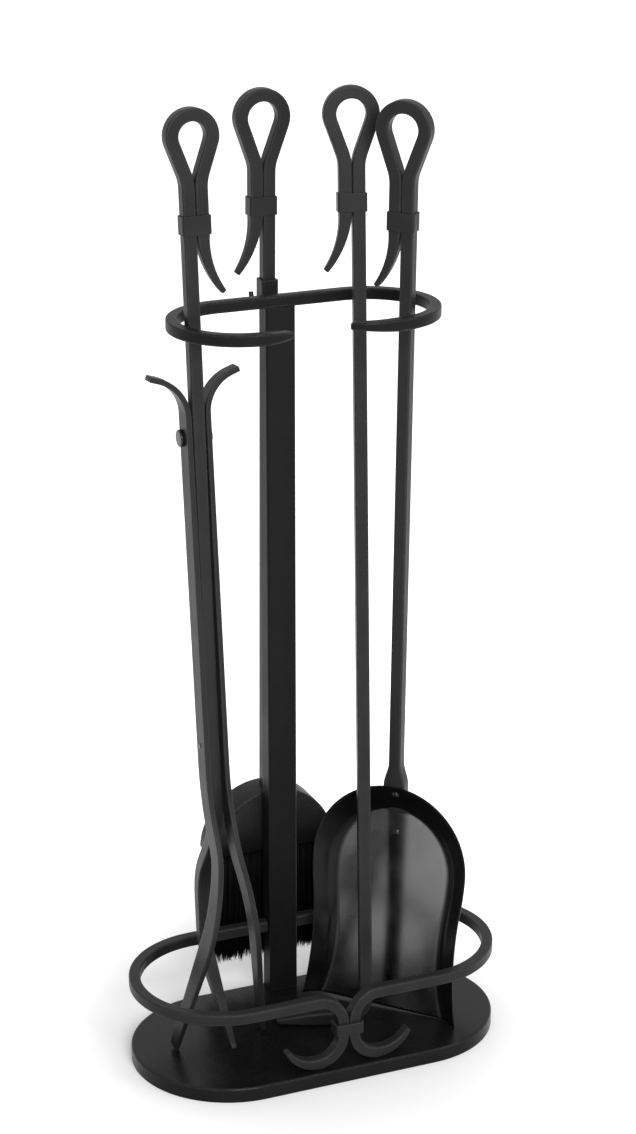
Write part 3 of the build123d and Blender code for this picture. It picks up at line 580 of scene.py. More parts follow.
def handle_collar(name, top, drop, spot, body, mirror=1):
    """Folded collar round the two legs of a loop handle."""
    middle = np.array((-mirror * LEG_PITCH / 2, 0, top - drop - COLLAR_HEIGHT))
    inside = BAR + 2 * COLLAR_GAP
    band(name, LEG_PITCH + inside, inside, COLLAR_WALL, 0, COLLAR_HEIGHT, COLLAR_CORNER, COLLAR_EDGE,
         lambda p: spot(p + middle), tool_coat, body, "tool_black")


def stood(body, shape, place, top, drop, mirror=1):
    """Shaft and handle collar of a tool in its stance, raised to the height of the shaft's solid. Gives the
    function that puts more points there."""
    points, faces, marks = shape
    shaft, leaned = body + "_shaft", stance(*place)
    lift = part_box(shaft)[1].z - leaned(points)[:, 2].max()
    spot = lambda more: leaned(more) + lift * Z
    bar(shaft, (spot(points), faces, marks), tool_coat, body, "tool_black")
    handle_collar(body + "_handle_collar", top, drop, spot, body, mirror)
    return spot


poker_top = POKER_TOP - BASE_THICK
hook_start = (-HOOK_LENGTH, 0, BAR / 2)
poker_path = route(hook_start, X, (HOOK_LENGTH - HOOK_BEND,), (HOOK_BEND, 90, -Y),
                   *loop_steps(poker_top, POKER_LOOP_HOLE, POKER_COLLAR_DROP, BAR / 2 + HOOK_BEND))
poker_run = lengths(poker_path[0])
wide, deep = tail_sizes(poker_run)
hook_size = drawn(poker_run, 0, HOOK_TAPER, HOOK_TIP, BAR)
poker_path[0][:, 2] -= HOOK_SINK * np.clip(1 - poker_run / HOOK_TAPER, 0, 1)
poker = swept(poker_path, Z, np.minimum(wide, hook_size), np.minimum(deep, hook_size))
stood("poker", poker, POKER_STANCE, poker_top, POKER_COLLAR_DROP)

# Shovel: a square steel bar with the same loop handle, flattened at its foot to a wide lug that lies on the
# back of the pan and holds it by two round-headed rivets.
SHOVEL_TOP = 792 * MM
SHOVEL_LOOP_HOLE = 25 * MM
SHOVEL_COLLAR_DROP = 88 * MM
SHOVEL_STANCE = (80.5 * MM, 17.6 * MM, -47.0, 0.002, -0.0255)
PAN_REACH = 28.5 * MM
PAN_TILT = 7.5
DISH_TILT = 9.2
PAN_SHEET = 1.8 * MM
LIP_RECESS = 6 * MM
PAN_HEIGHT = 200 * MM
DISH_HEIGHT = 176.5 * MM
TAB_WIDTH = 19 * MM
TAB_LOW = 140 * MM
TAB_FLARE_LOW = 200.5 * MM
TAB_FLARE_TOP = 220.5 * MM
TONGUE_LEAST = 0.08


def on_pan(outline, depth, tilt):
    """Points (across, up) of the leaning pan plane whose lip lies at a depth behind the rim's lip."""
    lean = math.radians(tilt)
    across, up = outline[..., 0], outline[..., 1]
    return np.stack((across, depth - PAN_REACH + up * math.sin(lean), up * math.cos(lean)), axis=-1)


def smooth_step(share):
    """3 s^2 - 2 s^3 of a share held between 0 and 1."""
    share = np.clip(share, 0, 1)
    return share * share * (3 - 2 * share)


dish_depth = PAN_SHEET + LIP_RECESS
shovel_top = SHOVEL_TOP - BASE_THICK
rim_top = on_pan(np.array((0, PAN_HEIGHT)), 0, PAN_TILT)
dish_top = on_pan(np.array((0, DISH_HEIGHT)), dish_depth, DISH_TILT)
dish_lip = on_pan(np.array((0, 0)), dish_depth, DISH_TILT)
shovel_path = route((0, 0, TAB_LOW), Z, (TAB_FLARE_TOP - TAB_LOW,), gap=2 * MM)
shovel_loop = loop_steps(shovel_top, SHOVEL_LOOP_HOLE, SHOVEL_COLLAR_DROP, TAB_FLARE_TOP)
upper_path = route(shovel_path[0][-1], Z, *shovel_loop)
shovel_path = tuple(np.concatenate((low, high[1:])) for low, high in zip(shovel_path, upper_path))
shovel_run = lengths(shovel_path[0])
wide, deep = tail_sizes(shovel_run)
height = TAB_LOW + shovel_run
flare = smooth_step((TAB_FLARE_TOP - height) / (TAB_FLARE_TOP - TAB_FLARE_LOW))
tongue = np.sqrt(np.clip(1 - np.clip(1 - shovel_run / TAB_WIDTH * 2, 0, 1) ** 2, TONGUE_LEAST, 1))
wide = wide + (TAB_WIDTH - BAR) * flare
wide = np.where(shovel_run < TAB_WIDTH / 2, TAB_WIDTH * (0.5 + 0.5 * tongue), wide)
pan_back = np.interp(height, (dish_lip[2], dish_top[2], rim_top[2], rim_top[2] + MM),
                     (dish_lip[1], dish_top[1], rim_top[1], -BAR))
front = np.maximum(pan_back, -BAR / 2)
lug = height < rim_top[2] + 2 * MM
deep = np.where(lug, BAR / 2 - front, deep)
shovel_path[0][:, 1] = np.where(lug, (BAR / 2 + front) / 2, 0)
shovel = swept(shovel_path, X, wide, deep)
shovel_spot = stood("shovel", shovel, SHOVEL_STANCE, shovel_top, SHOVEL_COLLAR_DROP)

# Pan: steel sheet pressed to a bell with a sloping border round a shallow dish that runs out at the lip. The
# coat lies smoother and glossier on it than on the forged bars, so the poker mirrors in the dish.
PAN_RADIUS = 69 * MM
PAN_LIP = 70 * MM
DISH_RADIUS = 54 * MM
DISH_LIP = 59 * MM
PAN_SIDE_RADIUS = 250 * MM
PAN_WAIST_RADIUS = 290 * MM
PAN_SIDE_ANGLE = 7.25
FOLD_REACH = 6 * MM
FOLD_SHARE = 0.6
BELL_STEPS = (44, 12, 12, 26)
WALL_STEPS = 8
FOLD_STEPS = 10
DISH_STEPS = 8
HEM_ANGLES = (-60, -30, 0, 30, 60)
HEM_BULGE = 0.6
PAN_PAINT = (0.004, 0.004, 0.0041, 1)
DISH_POLISH = (0.11, 0.11, 0.112, 1)

pan_coat = coated("pan_coat", PAN_PAINT, gloss=0.22, shine=0.14, peel=1400.0, depth=0.02, wear=0.3)
tree = pan_coat.node_tree
polished = linked(tree, "ShaderNodeAttribute", {"attribute_name": "polish"}).outputs["Fac"]
pan_tone = mixed(tree, polished, PAN_PAINT, DISH_POLISH)
feed(tree, next(node for node in tree.nodes if node.type == "GROUP"), Paint=pan_tone)
feed(tree, tree.nodes["Principled BSDF"], Metallic=polished)


def bell(height, top_radius, lip_half):
    """Right half of the pan's outline from crown to lip: quarter round, slight waist, flare to the lip."""
    turn = math.radians(PAN_SIDE_ANGLE)
    sweep = (1 - math.cos(turn)) * (PAN_SIDE_RADIUS + PAN_WAIST_RADIUS)
    rise = height - top_radius - math.sin(turn) * (PAN_SIDE_RADIUS + PAN_WAIST_RADIUS)
    gain = lip_half - (top_radius - sweep)
    flare = (rise**2 + gain**2) / (2 * gain)
    bends = ((top_radius, -90), (PAN_SIDE_RADIUS, -PAN_SIDE_ANGLE), (PAN_WAIST_RADIUS, PAN_SIDE_ANGLE),
             (flare, math.degrees(math.asin(rise / flare))))
    parts = []
    start, heading = np.array((0, height, 0)), X
    for (radius, degrees), count in zip(bends, BELL_STEPS):
        points, headings = route(start, heading, (radius, degrees, Z), turn=abs(degrees) / count)
        parts.append(points[1:])
        start, heading = points[-1], headings[-1]
    return np.concatenate((np.array((0, height, 0))[None], *parts))[:, :2]


rim = on_pan(bell(PAN_HEIGHT, PAN_RADIUS, PAN_LIP), 0, PAN_TILT)
dish_outline = bell(DISH_HEIGHT, DISH_RADIUS, DISH_LIP)
fold = on_pan(dish_outline, dish_depth, DISH_TILT)
middle = on_pan(dish_outline * (0, 1), dish_depth, DISH_TILT)
wall = fold - rim
before = fold - wall * np.minimum(FOLD_REACH / np.linalg.norm(wall, axis=1), FOLD_SHARE)[:, None]
inward = middle - fold
inward_length = np.maximum(np.linalg.norm(inward, axis=1), MM)
after = fold + inward * np.minimum(FOLD_REACH / inward_length, FOLD_SHARE)[:, None]
down = np.linspace(0, 1, WALL_STEPS + 1)[:, None, None]
round_off = np.linspace(0, 1, FOLD_STEPS + 1)[1:, None, None]
level = np.linspace(0, 1, DISH_STEPS + 1)[1:, None, None]
half_back = np.concatenate((
    rim + (before - rim) * down,
    (1 - round_off) ** 2 * before + 2 * round_off * (1 - round_off) * fold + round_off**2 * after,
    after + (middle - after) * level,
))
back = np.concatenate((half_back[:-1] * (-1, 1, 1), half_back[::-1]))
face = back - PAN_SHEET * Y
out = rim - middle
out = out / np.maximum(np.linalg.norm(out, axis=1), MM)[:, None]
out[0] = (0, 0, 1)
swell = np.radians(HEM_ANGLES)[:, None, None]
hem = rim - PAN_SHEET / 2 * Y + PAN_SHEET / 2 * (HEM_BULGE * np.cos(swell) * out - np.sin(swell) * Y)
loop = np.concatenate((face, hem[::-1], back[::-1], hem * (-1, 1, 1)))
columns, rows = loop.shape[:2]
pan_points = shovel_spot(loop.transpose(1, 0, 2))
pan_faces = grid_faces(rows, columns, close_columns=True).tolist()
width = len(face)
last_row = (rows - 1) * columns
lip = last_row + np.arange(width - 1)
opposite = last_row + width + len(hem) + width - 1 - np.arange(width)
pan_faces += np.stack((lip, lip + 1, opposite[1:], opposite[:-1]), axis=1).tolist()
hem_right = last_row + np.arange(width - 1, width + len(hem) + 1)
hem_left = last_row + np.append(np.arange(columns - len(hem) - 1, columns), 0)
pan_faces += [hem_right.tolist(), hem_left.tolist()]
# The hem is marked as edge, so the coat paints it lighter there: wear and painted highlight.
pan_marks = np.zeros((rows, columns))
pan_marks[:, width:width + len(hem)] = 1
pan_marks[:, columns - len(hem):] = 1
half_polish = np.ones(len(half_back))
half_polish[:len(down)] = 0
half_polish[len(down):-len(level)] = smooth_step(3 * round_off.ravel() - 2)
polish = np.zeros((rows, columns))
polish[:, :width] = np.concatenate((half_polish[:-1], half_polish[::-1]))
piece("shovel_pan", pan_points, pan_faces, pan_coat, "shovel", "pan_black",
      edge=pan_marks, polish=polish)

# Rivets: two of soft steel through the lug and the pan, one above the other. Their round heads are set by
# hammer on the dish side and coated with the rest, a little glossier.
RIVET_RADIUS = 3.5 * MM
RIVET_RISE = 1.6 * MM
RIVET_HIGH = 190 * MM
RIVET_LOW = 154 * MM
SEAT_SINK = 0.3 * MM
RIVET_PAINT = (0.008, 0.008, 0.0082, 1)


def turned(profile, origin, axis, steps=28):
    """Surface of revolution of (radius, height) points about an axis through origin."""
    axis = unit(axis)
    side = unit(np.cross(axis, Y if abs(axis[1]) < 0.9 else X))
    angle = np.radians(np.arange(steps) * 360 / steps)[None, :, None]
    ring = np.cos(angle) * side + np.sin(angle) * np.cross(axis, side)
    profile = np.array(profile)
    return np.array(origin) + profile[:, None, :1] * ring + profile[:, None, 1:2] * axis


def dome(radius, rise, steps=7):
    """Profile of a round head: arc of (radius^2 + rise^2) / (2 rise) from its top down to its rim."""
    big = (radius**2 + rise**2) / (2 * rise)
    angle = np.linspace(0, math.asin(radius / big), steps)
    return np.stack((big * np.sin(angle), rise - big * (1 - np.cos(angle))), axis=1)


rivet_coat = coated("rivet_coat", RIVET_PAINT, gloss=0.20, shine=0.3, wear=0.6)
rivet_foot = ((RIVET_RADIUS, -SEAT_SINK), (0, -SEAT_SINK))
rivet_profile = np.concatenate((dome(RIVET_RADIUS, RIVET_RISE), rivet_foot))
slope = (rim_top[1] - dish_top[1]) / (rim_top[2] - dish_top[2])
heads = []
for height in (RIVET_HIGH, RIVET_LOW):
    if height > dish_top[2]:
        seat, lean = dish_top[1] + slope * (height - dish_top[2]), math.atan(-slope)
    else:
        seat, lean = dish_lip[1] + math.tan(math.radians(DISH_TILT)) * height, -math.radians(DISH_TILT)
    heads.append(turned(rivet_profile, (0, seat - PAN_SHEET, height), (0, -math.cos(lean), -math.sin(lean))))
head_faces = grid_faces(*heads[0].shape[:2], close_columns=True)
faces = np.concatenate((head_faces, head_faces + heads[0].size // 3))
piece("shovel_rivets", shovel_spot(heads), faces, rivet_coat, "shovel", "rivet_black")

# Tongs: a square steel bar with its loop handle turned the other way, ending as the rear prong, which is
# bowed back and then forward to its point. Two flat straps pivot on a pin through it.
TONGS_TOP = 807 * MM
TONGS_LOOP_HOLE = 22.5 * MM
TONGS_COLLAR_DROP = 82 * MM
TONGS_STANCE = (-84.5 * MM, -12.5 * MM, 0.0, -0.0167, 0.0407)
PRONG_TOP = 225 * MM
PRONG_BACK_ANGLE = 38.0
PRONG_BACK_RADIUS = 60 * MM
PRONG_SLANT = 25 * MM
PRONG_STRAIGHT = 25 * MM
PRONG_FRONT_RADIUS = 55 * MM
PRONG_FRONT_ANGLE = 42.0
PRONG_TIP_REACH = 70 * MM
PRONG_TIP = 4.5 * MM

tongs_top = TONGS_TOP - BASE_THICK
prong_path = route((0, 0, PRONG_TOP), -Z, (PRONG_BACK_RADIUS, PRONG_BACK_ANGLE, X), (PRONG_SLANT,),
                   (PRONG_BACK_RADIUS, -PRONG_BACK_ANGLE, X), (PRONG_STRAIGHT,),
                   (PRONG_FRONT_RADIUS, -PRONG_FRONT_ANGLE, X), (PRONG_TIP_REACH,))
tongs_loop = loop_steps(tongs_top, TONGS_LOOP_HOLE, TONGS_COLLAR_DROP, PRONG_TOP)
upper_path = route((0, 0, PRONG_TOP), Z, *tongs_loop)
tongs_path = (np.concatenate((prong_path[0][:0:-1], upper_path[0] * (-1, 1, 1))),
              np.concatenate((-prong_path[1][:0:-1], upper_path[1] * (-1, 1, 1))))
tongs_run = lengths(tongs_path[0])
wide, deep = tail_sizes(tongs_run)
prong_size = drawn(tongs_run, 0, PRONG_TIP_REACH, PRONG_TIP, BAR)
tongs = swept(tongs_path, X, np.minimum(wide, prong_size), np.minimum(deep, prong_size))
tongs_spot = stood("tongs", tongs, TONGS_STANCE, tongs_top, TONGS_COLLAR_DROP, mirror=-1)
finished("tongs_pivot_pin", rivet_coat)

# Straps: flat steel bar on edge, one each side of the shaft, hung on the pivot pin. They spread below to a
# jaw, curl out as horns above and are tied at the top by one rivet behind the shaft.
STRAP_THICK = 4.5 * MM
STRAP_DEPTH = 19 * MM
STRAP_GAP = 0.6 * MM
STRAP_SET = -2 * MM
STRAP_REST_ANGLE = 1.3
PIVOT_Z = 282 * MM
BOW_Z = 265 * MM
BOW_FRONT_ANGLE = 26.5
BOW_HIGH_RADIUS = 135 * MM
BOW_LOW_RADIUS = 110 * MM
BOW_BACK_ANGLE = 23.0
STRAP_TIP_Z = 13 * MM
STRAP_TIP_DEPTH = 11 * MM
SPREAD_Z = 200 * MM
SPREAD_ANGLE = 9.8
SPREAD_RADIUS = 100 * MM
HORN_Z = 556 * MM
HORN_RADIUS = 32 * MM
HORN_ANGLE = 72.0
HORN_END = 7 * MM
HORN_TIP_DEPTH = 13 * MM
STRAP_EDGE = 1.0 * MM
STRAP_END = 0.8 * MM
LEVEL_STEP = 12 * MM

strap_x = BAR / 2 + STRAP_GAP + STRAP_THICK / 2
horn_high = route((strap_x, 0, HORN_Z), Z, (HORN_RADIUS, -HORN_ANGLE, -Y), (HORN_END,), gap=2 * MM)[0]
spread_low = route((strap_x, 0, SPREAD_Z), -Z, (SPREAD_RADIUS, SPREAD_ANGLE, -Y), (SPREAD_Z,))[0]
flank = np.concatenate((horn_high[::-1], spread_low))
bow = route((0, STRAP_SET, BOW_Z), -Z, (BOW_HIGH_RADIUS, -BOW_FRONT_ANGLE, X),
            (BOW_LOW_RADIUS, BOW_FRONT_ANGLE + BOW_BACK_ANGLE, X))
taper_z = bow[0][-1, 2]
tip_run = (taper_z - STRAP_TIP_Z) / -bow[1][-1, 2]
bow = np.concatenate((bow[0], route(bow[0][-1], bow[1][-1], (tip_run,))[0][1:]))
levels = np.concatenate((horn_high[::-1, 2], np.arange(HORN_Z, BOW_Z, -LEVEL_STEP)[1:], bow[:, 2]))
side_x = np.interp(-levels, -flank[:, 2], flank[:, 0])
side_y = np.interp(-levels, -bow[:, 2], bow[:, 1])
strap_points = np.stack((side_x, side_y, levels), axis=1)
strap_headings = unit(np.gradient(strap_points, axis=0))
deep_way = unit(np.cross(X, strap_headings))
thick_way = unit(np.cross(deep_way, strap_headings))
strap_deep = np.interp(levels, (STRAP_TIP_Z, taper_z, HORN_Z, levels[0]),
                       (STRAP_TIP_DEPTH, STRAP_DEPTH, STRAP_DEPTH, HORN_TIP_DEPTH))
strap_path = (strap_points, strap_headings)
points, faces, marks = swept(strap_path, thick_way, STRAP_THICK, strap_deep, STRAP_EDGE, STRAP_END)
rest_matrix = turned_about(X, math.radians(-STRAP_REST_ANGLE))


def closed(points):
    """Strap points turned about the pivot pin to where they rest against the shaft."""
    return (np.asarray(points) - PIVOT_Z * Z) @ rest_matrix.T + PIVOT_Z * Z


for name, side in (("tongs_strap_right", 1), ("tongs_strap_left", -1)):
    strap = (tongs_spot(closed(points * (side, 1, 1))), faces, marks)
    bar(name, strap, tool_coat, "tongs_straps", "tool_black")

# Tie rivet: a steel rivet with wide flat heads, rounded at the rim, through both strap tops. It passes behind
# the shaft, which stops it when the tongs are closed.
TIE_RIVET_Z = 537 * MM
TIE_SHOULDER_RADIUS = 2.5 * MM
TIE_STOP_GAP = 0.3 * MM
TIE_HEAD_RADIUS = 7 * MM
TIE_HEAD_RISE = 3 * MM
TIE_HEAD_ROUND = 1.1 * MM
TIE_FLAT_SHARE = 0.6

pin_out = BAR / 2 + STRAP_GAP + STRAP_THICK
tie_back = BAR / 2 + TIE_STOP_GAP + TIE_SHOULDER_RADIUS
tie_back -= (TIE_RIVET_Z - PIVOT_Z) * math.tan(math.radians(STRAP_REST_ANGLE))
rim_middle = (TIE_HEAD_RADIUS - TIE_HEAD_ROUND, TIE_HEAD_RISE - TIE_HEAD_ROUND)
rim_round = quarter(TIE_HEAD_ROUND, 0, steps=6)[::-1] + rim_middle
flat = ((0, TIE_HEAD_RISE), (TIE_FLAT_SHARE * TIE_HEAD_RADIUS, TIE_HEAD_RISE))
head = np.concatenate((flat, rim_round)) + (0, pin_out)
shank = np.array(((TIE_HEAD_RADIUS, pin_out - SEAT_SINK), (TIE_SHOULDER_RADIUS, pin_out - SEAT_SINK)))
right_half = np.concatenate((head, shank))
tie_profile = np.concatenate((right_half, right_half[::-1] * (1, -1)))
tie = turned(tie_profile, (0, tie_back, TIE_RIVET_Z), X)
faces = grid_faces(*tie.shape[:2], close_columns=True)
piece("tongs_tie_rivet", tongs_spot(closed(tie)), faces, rivet_coat, "tongs_straps", "rivet_black")

# Brush: a square steel bar with the loop handle, let into a half-round wooden head and pinned there. A folded
# square collar on the bar rests on the fork, so the brush hangs free of the base.
BRUSH_TOP = 793 * MM
BRUSH_LOOP_HOLE = 25.5 * MM
BRUSH_COLLAR_DROP = 86.5 * MM
HANGER_WALL = 2 * MM
HANGER_HEIGHT = 18.5 * MM
HANGER_GAP = 0.05 * MM
HANGER_CORNER = 1.2 * MM
HANGER_EDGE = 0.6 * MM
REST_GAP = 0.15 * MM
HEAD_RADIUS = 56.6 * MM
HEAD_CENTRE_Z = 137.6 * MM
SOCKET_DEPTH = 38 * MM

head_top = HEAD_CENTRE_Z + HEAD_RADIUS
bar_low = head_top - SOCKET_DEPTH
brush_y = fork_y + FORK_REACH / 2
brush_spot = stance(BRUSH_X, brush_y, 0, BRUSH_SLOPE_X, 0)
brush_path = route((0, 0, bar_low), Z, *loop_steps(BRUSH_TOP, BRUSH_LOOP_HOLE, BRUSH_COLLAR_DROP, bar_low))
wide, deep = tail_sizes(lengths(brush_path[0]))
points, faces, marks = swept(brush_path, X, wide, deep)
bar("brush_shaft", (brush_spot(points), faces, marks), tool_coat, "brush", "tool_black")
handle_collar("brush_handle_collar", BRUSH_TOP, BRUSH_COLLAR_DROP, brush_spot, "brush")
hanger_low = fork_z + FORK_ROD / 2 + REST_GAP
hanger_inside = BAR + 2 * HANGER_GAP
band("brush_hanger_collar", hanger_inside, hanger_inside, HANGER_WALL - HANGER_GAP, hanger_low,
     hanger_low + HANGER_HEIGHT, HANGER_CORNER, HANGER_EDGE, brush_spot,
     tool_coat, "brush", "tool_black")

# Brush head: a half round of wood, painted black, its crown eased along both faces. A shallow bed is cut in
# its flat underside for the bristles, and a pin across it holds the bar.
HEAD_LOW = 139.5 * MM
HEAD_DEPTH = 30 * MM
HEAD_EDGE = 1.8 * MM
HEAD_STEPS = 90
BED_MARGIN = 3 * MM
BED_RISE = 4 * MM
HEAD_PAINT = (0.009, 0.009, 0.0092, 1)

head_coat = coated("head_coat", HEAD_PAINT, gloss=0.42, shine=0.10, peel=500.0, depth=0.06, wear=0.45)
finished("brush_head_pin", rivet_coat)
low_angle = math.asin((HEAD_LOW - HEAD_CENTRE_Z) / HEAD_RADIUS)
half_head = HEAD_RADIUS * math.cos(low_angle)
arc = np.linspace(low_angle, math.pi - low_angle, HEAD_STEPS + 1)[:, None]
ease = quarter(HEAD_EDGE, 0, steps=5) - HEAD_EDGE
flat_inset = np.full(3, -2 * HEAD_EDGE)
inset = np.concatenate((flat_inset, ease[::-1, 0], ease[:, 0], flat_inset))
rise_share = np.ones(len(inset))
rise_share[:2] = 0, 0.5
rise_share[-2:] = 0.5, 0
depth = HEAD_DEPTH / 2
across = np.concatenate(((-depth,) * 3, -depth - ease[::-1, 1], depth + ease[:, 1], (depth,) * 3))
radius = HEAD_RADIUS + inset
side_x = radius * np.cos(arc)
side_z = HEAD_CENTRE_Z + radius * np.sin(arc)
side_z = np.maximum(HEAD_LOW + (side_z - HEAD_LOW) * rise_share, HEAD_LOW)
crown = np.stack((side_x, np.broadcast_to(across, side_x.shape), side_z), axis=2)
crown_marks = np.broadcast_to((rise_share == 1) & (inset < 0), side_x.shape)
bed_x, bed_y = half_head - BED_MARGIN, depth - BED_MARGIN
head_rim = np.concatenate((crown[0, :-1], crown[:-1, -1], crown[-1, :0:-1], crown[:0:-1, 0]))
bed_rim = np.clip(head_rim, (-bed_x, -bed_y, HEAD_LOW), (bed_x, bed_y, HEAD_LOW))
bed_middle = np.broadcast_to((0, 0, HEAD_LOW + BED_RISE), head_rim.shape)
under = np.stack((head_rim, bed_rim, bed_rim + BED_RISE * Z, bed_middle))
under_faces = grid_faces(*under.shape[:2], close_columns=True, start=crown_marks.size)
faces = np.concatenate((grid_faces(*crown.shape[:2]), under_faces))
head_points = brush_spot(np.concatenate((crown.reshape(-1, 3), under.reshape(-1, 3))))
head_marks = np.concatenate((crown_marks.ravel(), np.zeros(under[..., 0].size)))
piece("brush_head", head_points, faces, head_coat, "brush", "head_black", edge=head_marks)

# Bristles: dense black fibre set in tufts in the bed under the head, a little splayed and cut unevenly, so
# that their tips end in small points.
BRISTLE_END = 38 * MM
BRISTLE_RAGGED = 4.5 * MM
BRISTLE_RADIUS = 0.42 * MM
BRISTLE_SPLAY = 0.04
TUFT_COLUMNS = 20
TUFT_ROWS = 6
TUFT_STRANDS = 34
TUFT_STAGGER = 0.25
TUFT_INSET_X = 2.5 * MM
TUFT_INSET_Y = 1.5 * MM
TUFT_HALF_WIDE = 2.6 * MM
TUFT_HALF_DEEP = 1.9 * MM
TUFT_ROUND = 2.5 * MM
TUFT_DRAW = 0.5
TUFT_UNEVEN = 0.45
STRAND_UNEVEN = 0.3
STRAY_X = 1.2 * MM
STRAY_Y = 0.8 * MM
STRAND_STOPS = np.array((0, 0.3, 0.6, 0.88, 1.0))
STRAND_RADII = np.array((1, 1, 0.95, 0.8, 0.25)) * BRISTLE_RADIUS
BEND_POWER = 1.4
ROOT_SET = 2 * MM
BED_GAP = 0.2 * MM
BED_PLATE = (1 * MM, 3 * MM)
BRISTLE_DARK = (0.0006, 0.0006, 0.0006, 1)
BRISTLE_LIGHT = (0.004, 0.004, 0.0041, 1)
BRISTLE_SHINE = 0.06
STREAKS_PER_METRE = (900.0, 900.0, 12.0)

bristle_coat = bpy.data.materials.new("bristle_fibre")
bristle_coat.use_nodes = True
tree = bristle_coat.node_tree
place = tree.nodes.new("ShaderNodeTexCoord").outputs["Object"]
stretch = linked(tree, "ShaderNodeMapping", Vector=place, Scale=STREAKS_PER_METRE).outputs[0]
streak = noise(tree, stretch, 1.0, 2.0)
feed(tree, tree.nodes["Principled BSDF"], Base_Color=mixed(tree, streak, BRISTLE_DARK, BRISTLE_LIGHT),
     Roughness=ranged(tree, streak, (0.3, 0.7), (0.62, 0.42)), Specular_IOR_Level=BRISTLE_SHINE)

random = np.random.default_rng(7)
columns, rows = np.indices((TUFT_COLUMNS, TUFT_ROWS)).reshape(2, -1)
stagger = TUFT_STAGGER * (1 - 2 * (rows % 2))
tuft_x = ((columns + 0.5 + stagger) / TUFT_COLUMNS * 2 - 1) * (bed_x - TUFT_INSET_X)
tuft_y = ((rows + 0.5) / TUFT_ROWS * 2 - 1) * (bed_y - TUFT_INSET_Y)
tufts = len(tuft_x)
spread_way = random.uniform(0, 2 * np.pi, (tufts, TUFT_STRANDS))
spread_far = np.sqrt(random.uniform(0, 1, (tufts, TUFT_STRANDS)))
tuft_cut = random.normal(0, TUFT_UNEVEN, (tufts, 1)) * BRISTLE_RAGGED
strand_end = BRISTLE_END + tuft_cut + random.normal(0, STRAND_UNEVEN, spread_far.shape) * BRISTLE_RAGGED
lowest, highest = BRISTLE_END - BRISTLE_RAGGED, BRISTLE_END + 3 * BRISTLE_RAGGED
strand_end = np.clip(strand_end + TUFT_ROUND * spread_far**2, lowest, highest)
wide_way = (tuft_x, TUFT_HALF_WIDE * spread_far * np.cos(spread_way), STRAY_X)
deep_way = (tuft_y, TUFT_HALF_DEEP * spread_far * np.sin(spread_way), STRAY_Y)
paths = []
for tuft, off, stray in (wide_way, deep_way):
    root = tuft[:, None] + off
    lean = root * BRISTLE_SPLAY - TUFT_DRAW * off + random.normal(0, stray, root.shape)
    paths.append(root.reshape(-1, 1) + lean.reshape(-1, 1) * STRAND_STOPS**BEND_POWER)
path_x, path_y = paths
spin = random.uniform(0, 2 * np.pi, spread_far.size)[:, None] + np.radians((0, 120, 240))
top = HEAD_LOW + ROOT_SET
path_z = top + (strand_end.reshape(-1, 1) - top) * STRAND_STOPS
strand = np.stack((
    path_x[..., None] + STRAND_RADII[:, None] * np.cos(spin)[:, None],
    path_y[..., None] + STRAND_RADII[:, None] * np.sin(spin)[:, None],
    np.broadcast_to(path_z[..., None], path_z.shape + (3,)),
), axis=-1)
strand_sides = grid_faces(len(STRAND_STOPS), 3, close_columns=True)
strand_caps = np.array(((0, 1, 2), (12, 14, 13)))
starts = np.arange(len(strand)) * len(STRAND_STOPS) * 3
sides = (starts[:, None, None] + strand_sides).reshape(-1, 4).tolist()
caps = (starts[:, None, None] + strand_caps).reshape(-1, 3).tolist()
bed_corners = SIGNS * (bed_x - BED_GAP, bed_y - BED_GAP)
bed = np.array([(x, y, HEAD_LOW + z) for z in BED_PLATE for x, y in bed_corners])
bed_start = strand.size // 3
bed_faces = grid_faces(2, 4, close_columns=True, start=bed_start).tolist()
bed_faces += [[bed_start + k for k in (3, 2, 1, 0)], [bed_start + k for k in (4, 5, 6, 7)]]
bristle_points = brush_spot(np.concatenate((strand.reshape(-1, 3), bed)))
piece("brush_bristles", bristle_points, sides + caps + bed_faces, bristle_coat, "brush", "bristle_black")

# Studio: a plain white floor that fades into a white surround, with a large soft light in front, a smaller
# one to the right and a broad one overhead.
FLOOR_HALF = 6.0
FLOOR_GLOW = 0.1
FLOOR_NEAR = 0.1
FLOOR_FAR = 0.42
FLOOR_TONE = (0.86, 0.86, 0.86, 1)
FLOOR_ROUGHNESS = 0.9
WHITE = (1, 1, 1, 1)
SURROUND = 0.3

scene = bpy.context.scene
scene.view_settings.view_transform = "Standard"


def seen_directly(tree):
    """1 for rays from the camera and for mirrored and transmitted ones, 0 for light that falls on things."""
    path = tree.nodes.new("ShaderNodeLightPath").outputs
    mirrored = sum_of(tree, "MAXIMUM", path["Is Glossy Ray"], path["Is Transmission Ray"])
    return sum_of(tree, "MAXIMUM", path["Is Camera Ray"], mirrored)


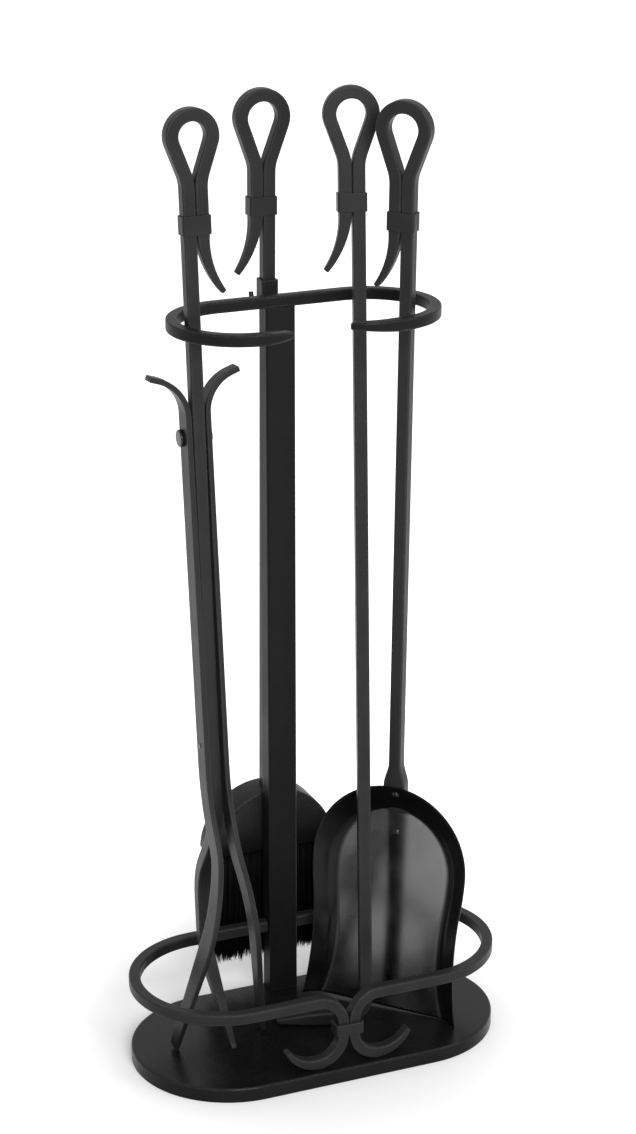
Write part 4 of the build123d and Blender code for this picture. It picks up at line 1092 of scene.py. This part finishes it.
floor_mesh = bpy.data.meshes.new("floor")
floor_corners = [(x, y, 0) for x, y in (FLOOR_HALF * SIGNS).tolist()]
floor_mesh.from_pydata(floor_corners, [], [(0, 1, 2, 3)])
floor = placed("floor", floor_mesh)
floor_paint = bpy.data.materials.new("floor_paint")
floor_paint.use_nodes = True
tree = floor_paint.node_tree
place = tree.nodes.new("ShaderNodeTexCoord").outputs["Object"]
reach = linked(tree, "ShaderNodeVectorMath", {"operation": "LENGTH"}, i0=place).outputs["Value"]
eased_range = linked(tree, "ShaderNodeMapRange", {"interpolation_type": "SMOOTHSTEP"},
                     i0=reach, i1=FLOOR_NEAR, i2=FLOOR_FAR, i3=FLOOR_GLOW, i4=1.0)
glow = sum_of(tree, "MULTIPLY", seen_directly(tree), eased_range.outputs[0])
feed(tree, tree.nodes["Principled BSDF"], Base_Color=FLOOR_TONE, Roughness=FLOOR_ROUGHNESS,
     Emission_Color=WHITE, Emission_Strength=glow)
floor_mesh.materials.append(floor_paint)

world = bpy.data.worlds.new("surround")
scene.world = world
world.use_nodes = True
tree = world.node_tree
strength = ranged(tree, seen_directly(tree), (0.0, 1.0), (SURROUND, 1.0))
feed(tree, tree.nodes["Background"], Color=WHITE, Strength=strength)


def soft_light(name, place, aim, width, height, power):
    """Rectangular lamp at a place, facing an aim point."""
    lamp = bpy.data.lights.new(name, "AREA")
    lamp.shape = "RECTANGLE"
    lamp.size, lamp.size_y, lamp.energy = width, height, power
    holder = placed(name, lamp)
    holder.location = place
    away = Vector(aim) - Vector(place)
    holder.rotation_euler = away.to_track_quat("-Z", "Y").to_euler()
    holder.visible_camera = False


soft_light("light_front", place=(-0.3, -2.7, 1.9), aim=(0, 0, 0.4), width=1.4, height=1.6, power=80)
soft_light("light_right", place=(1.9, -1.9, 1.5), aim=(0, 0, 0.4), width=0.9, height=1.4, power=16)
soft_light("light_top", place=(0.1, 0.2, 2.6), aim=(0, 0, 0.3), width=1.8, height=1.4, power=15)

# Camera: a long lens from the front left and a little above, as the photograph was taken. Lengths of the
# scene are in metres, angles in degrees, lens and sensor in millimetres.
CAMERA_AIM = (-0.00063, -0.01163, 0.42762)
CAMERA_AZIMUTH = -23.02
CAMERA_HEIGHT_ANGLE = 19.57
CAMERA_DISTANCE = 2.23775
CAMERA_LENS = 88.99
CAMERA_SENSOR = 36.0

azimuth, rise = math.radians(CAMERA_AZIMUTH), math.radians(CAMERA_HEIGHT_ANGLE)
away = Vector((math.sin(azimuth) * math.cos(rise), -math.cos(azimuth) * math.cos(rise), math.sin(rise)))
lens = bpy.data.cameras.new("camera")
lens.lens = CAMERA_LENS
lens.sensor_width = CAMERA_SENSOR
camera = placed("camera", lens)
camera.location = Vector(CAMERA_AIM) + away * CAMERA_DISTANCE
camera.rotation_euler = away.to_track_quat("Z", "Y").to_euler()
scene.camera = camera
